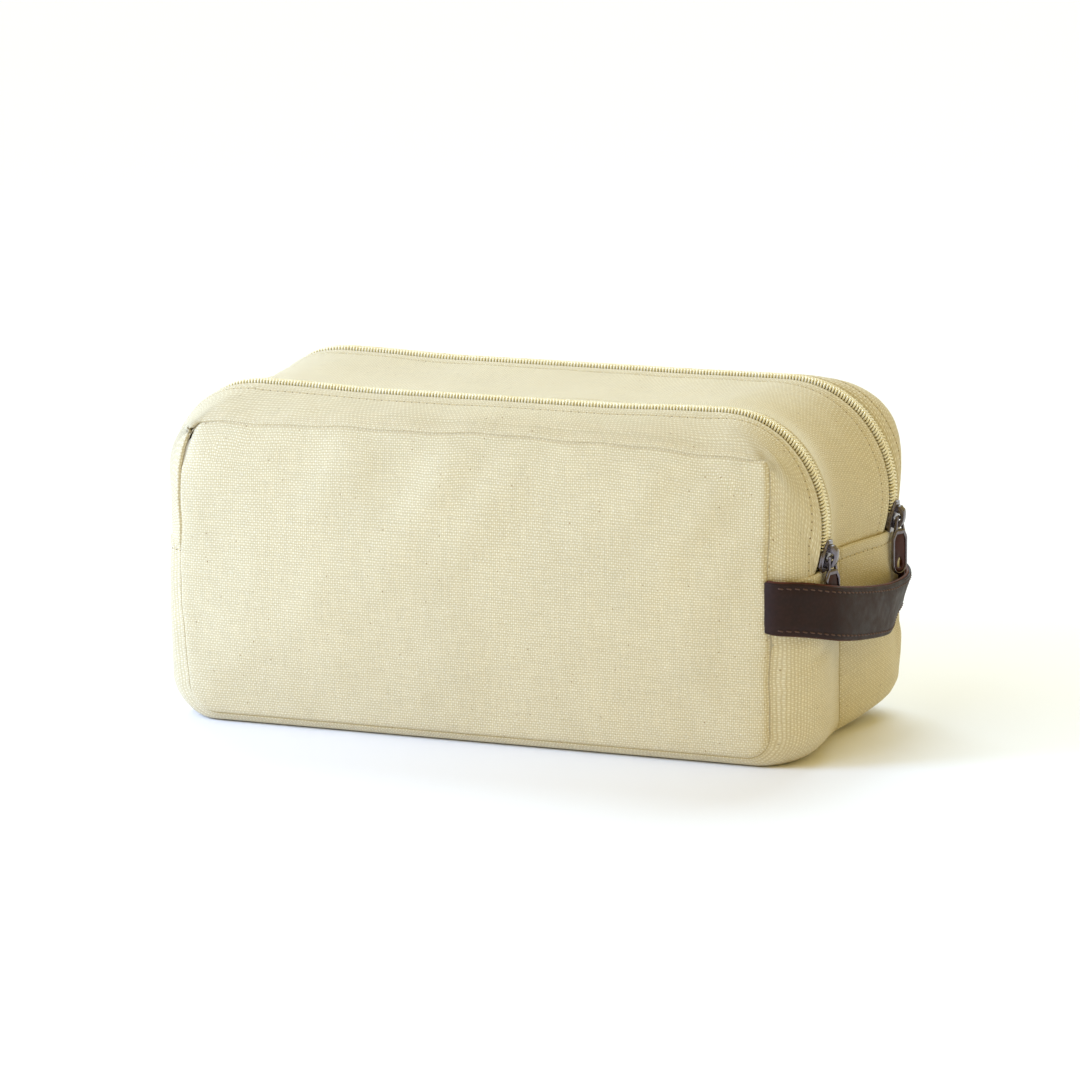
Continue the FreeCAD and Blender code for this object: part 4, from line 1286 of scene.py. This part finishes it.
# ------------------------------------------------------------- the strap
STRAP = np.array([
    (-61.0, 117.6, 117.6, 72.4, 52.8), (-62.2, 119.3, 119.3, 72.3, 52.6),
    (-61.8, 121.9, 121.9, 72.1, 52.4), (-59.0, 126.2, 126.2, 71.9, 52.0),
    (-55.0, 131.1, 131.1, 71.3, 51.2), (-50.0, 135.0, 135.0, 70.0, 49.9),
    (-44.0, 139.0, 138.9, 68.5, 48.3), (-36.0, 140.8, 140.6, 66.8, 46.6),
    (-24.0, 142.2, 141.8, 64.5, 44.4), (-8.0, 142.9, 142.1, 61.7, 41.8),
    (8.0, 142.9, 141.2, 59.3, 39.4), (20.0, 142.3, 138.9, 58.1, 38.3),
    (28.0, 141.7, 136.6, 57.4, 38.2), (35.0, 140.9, 134.9, 57.0, 38.9),
    (41.0, 139.8, 133.8, 56.8, 39.9), (46.0, 138.3, 133.2, 56.9, 40.4),
    (50.0, 136.6, 132.6, 57.2, 40.4), (55.0, 133.6, 131.4, 57.8, 40.2),
    (57.6, 131.0, 129.6, 58.3, 40.0), (59.2, 127.4, 127.0, 58.6, 39.6)])


def strap_grid(nl=150, nw=21):
    # resample by arc length of the top edge's plan
    rows = STRAP
    d = np.concatenate([[0], np.cumsum(np.hypot(np.diff(rows[:, 0]), np.diff(rows[:, 1])))])
    f = [pchip(d, rows[:, k]) for k in range(5)]
    q = np.linspace(0, d[-1], nl)
    y, xt, xb, zt, zb = [g(q) for g in f]
    # light smoothing along the length
    for a in (y, xt, xb, zt, zb):
        for _ in range(16):
            a[1:-1] = 0.25 * a[:-2] + 0.5 * a[1:-1] + 0.25 * a[2:]
    w = np.linspace(0, 1, nw)[None, :]
    X = xt[:, None] * (1 - w) + xb[:, None] * w
    Z = zt[:, None] * (1 - w) + zb[:, None] * w
    Y = np.repeat(y[:, None], nw, 1)
    X = X + 0.35 * np.sin(np.pi * w) * np.sin(np.pi * np.linspace(0, 1, nl))[:, None]
    return np.stack([X, Y, Z], -1)


def strap_ply(name, off0, thick, mat, edge):
    nw = 25
    w = np.concatenate([[0, 0.012, 0.035, 0.07, 0.115], np.linspace(0.15, 0.85, 15), [0.885, 0.93, 0.965, 0.988, 1.0]])
    base = strap_grid(150, 25)
    ww = np.linspace(0, 1, 25)
    P = np.stack([np.stack([np.interp(w, ww, base[i, :, k]) for k in range(3)], -1) for i in range(base.shape[0])], 0)
    N = normals(P, False)
    if N[75, 12, 0] < 0:
        N = -N
    e = np.minimum(w, 1 - w) * 20.0
    # pressed line at the stitches, rounded edges
    prof = -roll_in(e, 0.9, edge) - 0.20 * bump1(e, 1.9, 0.5) + 0.10 * bump1(e, 4.2, 1.6)
    slow = 0.10 * noise3(P, 12.0, 41) * np.clip(e / 3, 0, 1)[None, :]
    P = P + N * (off0 + prof[None, :, None] + slow[..., None])
    fl = normals(P, False)[75, 12, 0] < 0
    ob = sheet_mesh(name, P, normals(P, fl), thick, [mat], flip=bool(fl))
    return fix_normals(ob), P, normals(P, fl)


outer, SP, SN = strap_ply("strap_outer", 1.2, 1.18, LEATHER, 0.55)
inner, IP, IN = strap_ply("strap_inner", 0.0, 1.15, LEATHER_IN, 0.0)
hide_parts("strap_outer_ply")
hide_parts("strap_inner_ply")
st = []
e_lines = np.concatenate([[0, 0.012, 0.035, 0.07, 0.115], np.linspace(0.15, 0.85, 15), [0.885, 0.93, 0.965, 0.988, 1.0]])
for frac in (0.095, 0.905):
    pts = np.stack([[np.interp(frac, e_lines, SP[i, :, k]) for k in range(3)] for i in range(SP.shape[0])])
    nn = np.stack([[np.interp(frac, e_lines, SN[i, :, k]) for k in range(3)] for i in range(SP.shape[0])])
    st.append(stitch_run(pts[5:-5], nn[5:-5], 3.2, 2.5, 0.32, 0.16, tilt=0.14))
    q = np.stack([[np.interp(frac, e_lines, (IP - IN * 1.15)[i, :, k]) for k in range(3)] for i in range(IP.shape[0])])
    st.append(stitch_run(q[5:-5], -nn[5:-5], 3.2, 2.5, 0.24, 0.10, tilt=0.12))
V, F = join(st)
seam_st = make_mesh("strap_stitches", V, F, None, [STRAP_THREAD])
for o_ in (outer, inner, seam_st):
    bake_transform(o_)


def divider_piece():
    gx, gz = np.linspace(-1, 1, 70), np.linspace(0, 1, 40)
    U, Vv = np.meshgrid(gx, gz)
    zb, zt = 2.0, 126.6
    Z = zb + (zt - zb) * Vv
    a = 122.6
    r = 40.0
    cz = zt - r
    half = np.where(Z > cz, a - r + np.sqrt(np.clip(r * r - (Z - cz) ** 2, 1.0, None)), a)
    rb = 12.0
    half = np.where(Z < zb + rb, a - rb + np.sqrt(np.clip(rb * rb - (zb + rb - Z) ** 2, 1.0, None)), half)
    X = U * half
    Y = 0.9 * noise3(np.stack([X, 0 * X, Z], -1), 40.0, 50) * (1 - U ** 2) * np.sin(np.pi * Vv) * 1.6
    P = np.stack([X, Y - 0.3, Z], -1)
    fl = normals(P, False)[20, 35, 1] > 0
    ob = sheet_mesh("divider_cloth", P, normals(P, fl), 0.7, [LINING], UV=np.stack([X, Z], -1) * MM, flip=bool(fl))
    return fix_normals(ob)


dv = divider_piece()
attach(dv, "bag")
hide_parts("divider")


def lining_pieces(side):
    s = -1 if side == "front" else 1
    # lower tub
    ay = np.concatenate([[60.3, 59.0, 57.2, 55.0, 52.5], np.linspace(50, 3.0, 18), [1.9, 1.2]])
    P = warp(lo_grid(s * ay, [70.6, 70.0, 69.0, 67.0, 64.0], 2.0, hug=True, rise=0.0))
    N = normals(P, s < 0)
    P = P + N * ((wrinkle(P, 31, 0.8) * np.clip((60.5 - np.abs(P[..., 1])) / 6, 0, 1)) - 0.6)[..., None]
    low = fix_normals(sheet_mesh("lining_%s_lower" % side, P, normals(P, s < 0), 0.35, [LINING], flip=s < 0))
    # under the centre band
    ay = np.concatenate([[29.0, 27.5, 26.0], np.linspace(24.0, 3.0, 10), [1.4]])
    P = warp(up_grid(s * ay, 68.0, 2.7, 1.0))
    N = normals(P, s > 0)
    bandl = fix_normals(sheet_mesh("lining_%s_band" % side, P, N, 0.35, [LINING], flip=s > 0))
    # flap side
    ay = np.array([60.2, 59.0, 57.5, 56.0, 54.4, 52.8, 51.2, 49.8, 48.6, 47.8])
    P = warp(up_grid(s * ay, 70.6, 2.75, 1.0))
    N = normals(P, s > 0)
    flap = fix_normals(sheet_mesh("lining_%s_flap" % side, P, N, 0.35, [LINING], flip=s > 0))
    # inside of the panel
    gx, gz = np.linspace(-117.2, 117.2, 80), np.linspace(7.0, 116.0, 40)
    X, Z = np.meshgrid(gx, gz)
    r = 9.0
    c = np.clip((np.abs(Z - 61.5) - (54.5 - r)) / r, 0, 1)
    X = X * (1 - (r * (1 - np.sqrt(1 - c * c))) / 117.2)
    e = np.minimum(117.2 - np.abs(X), np.minimum(Z - 7.0, 116.0 - Z))
    Y = s * (SEAM_Y - 0.9 + 1.6 * (1 - np.exp(-np.maximum(e, 0) / 12.0)))
    P = warp(np.stack([X, Y, Z], -1))
    P[..., 1] += -s * 0.5 * (0.5 + 0.5 * noise3(P, 30.0, 37)) * smooth(e / 10.0)
    fl = normals(P, False)[20, 40, 1] * s < 0
    pan = fix_normals(sheet_mesh("lining_%s_panel" % side, P, normals(P, fl), 0.35, [LINING], UV=np.stack([X, Z], -1) * MM, flip=bool(fl)))
    return low, bandl, flap, pan


for side in ("front", "rear"):
    low, bandl, flap, pan = lining_pieces(side)
    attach(low, "bag")
    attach(bandl, "bag")
    BL[side](flap)
    BL[side](pan)
    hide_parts(side + "_lower_lining")
    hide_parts(side + "_band_lining")
    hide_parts(side + "_flap_lining")


for side in ("front", "rear"):
    for kind, store in (("zip_strip", strips), ("gusset", gussets), ("panel", panels)):
        ob, P = store[side]

# ----------------------------------------------------------------- floor
me = bpy.data.meshes.new("floor")
me.from_pydata([(-9, -9, 0), (9, -9, 0), (9, 12, 0), (-9, 12, 0)], [], [(0, 1, 2, 3)])
floor = bpy.data.objects.new("floor", me)
bpy.context.scene.collection.objects.link(floor)
fm, nt, bs = new_mat("floor_paper")
g = G(nt)
obj = g.node("ShaderNodeTexCoord").outputs["Object"]
nf = g.noise(obj, 3.0, 2.0, 0.5).outputs["Fac"]
g.link(g.mix(nf, (0.95, 0.955, 0.985, 1), (0.97, 0.975, 0.995, 1)), bs.inputs["Base Color"])
bs.inputs["Roughness"].default_value = 0.9
bs.inputs["Specular IOR Level"].default_value = 0.1
me.materials.append(fm)
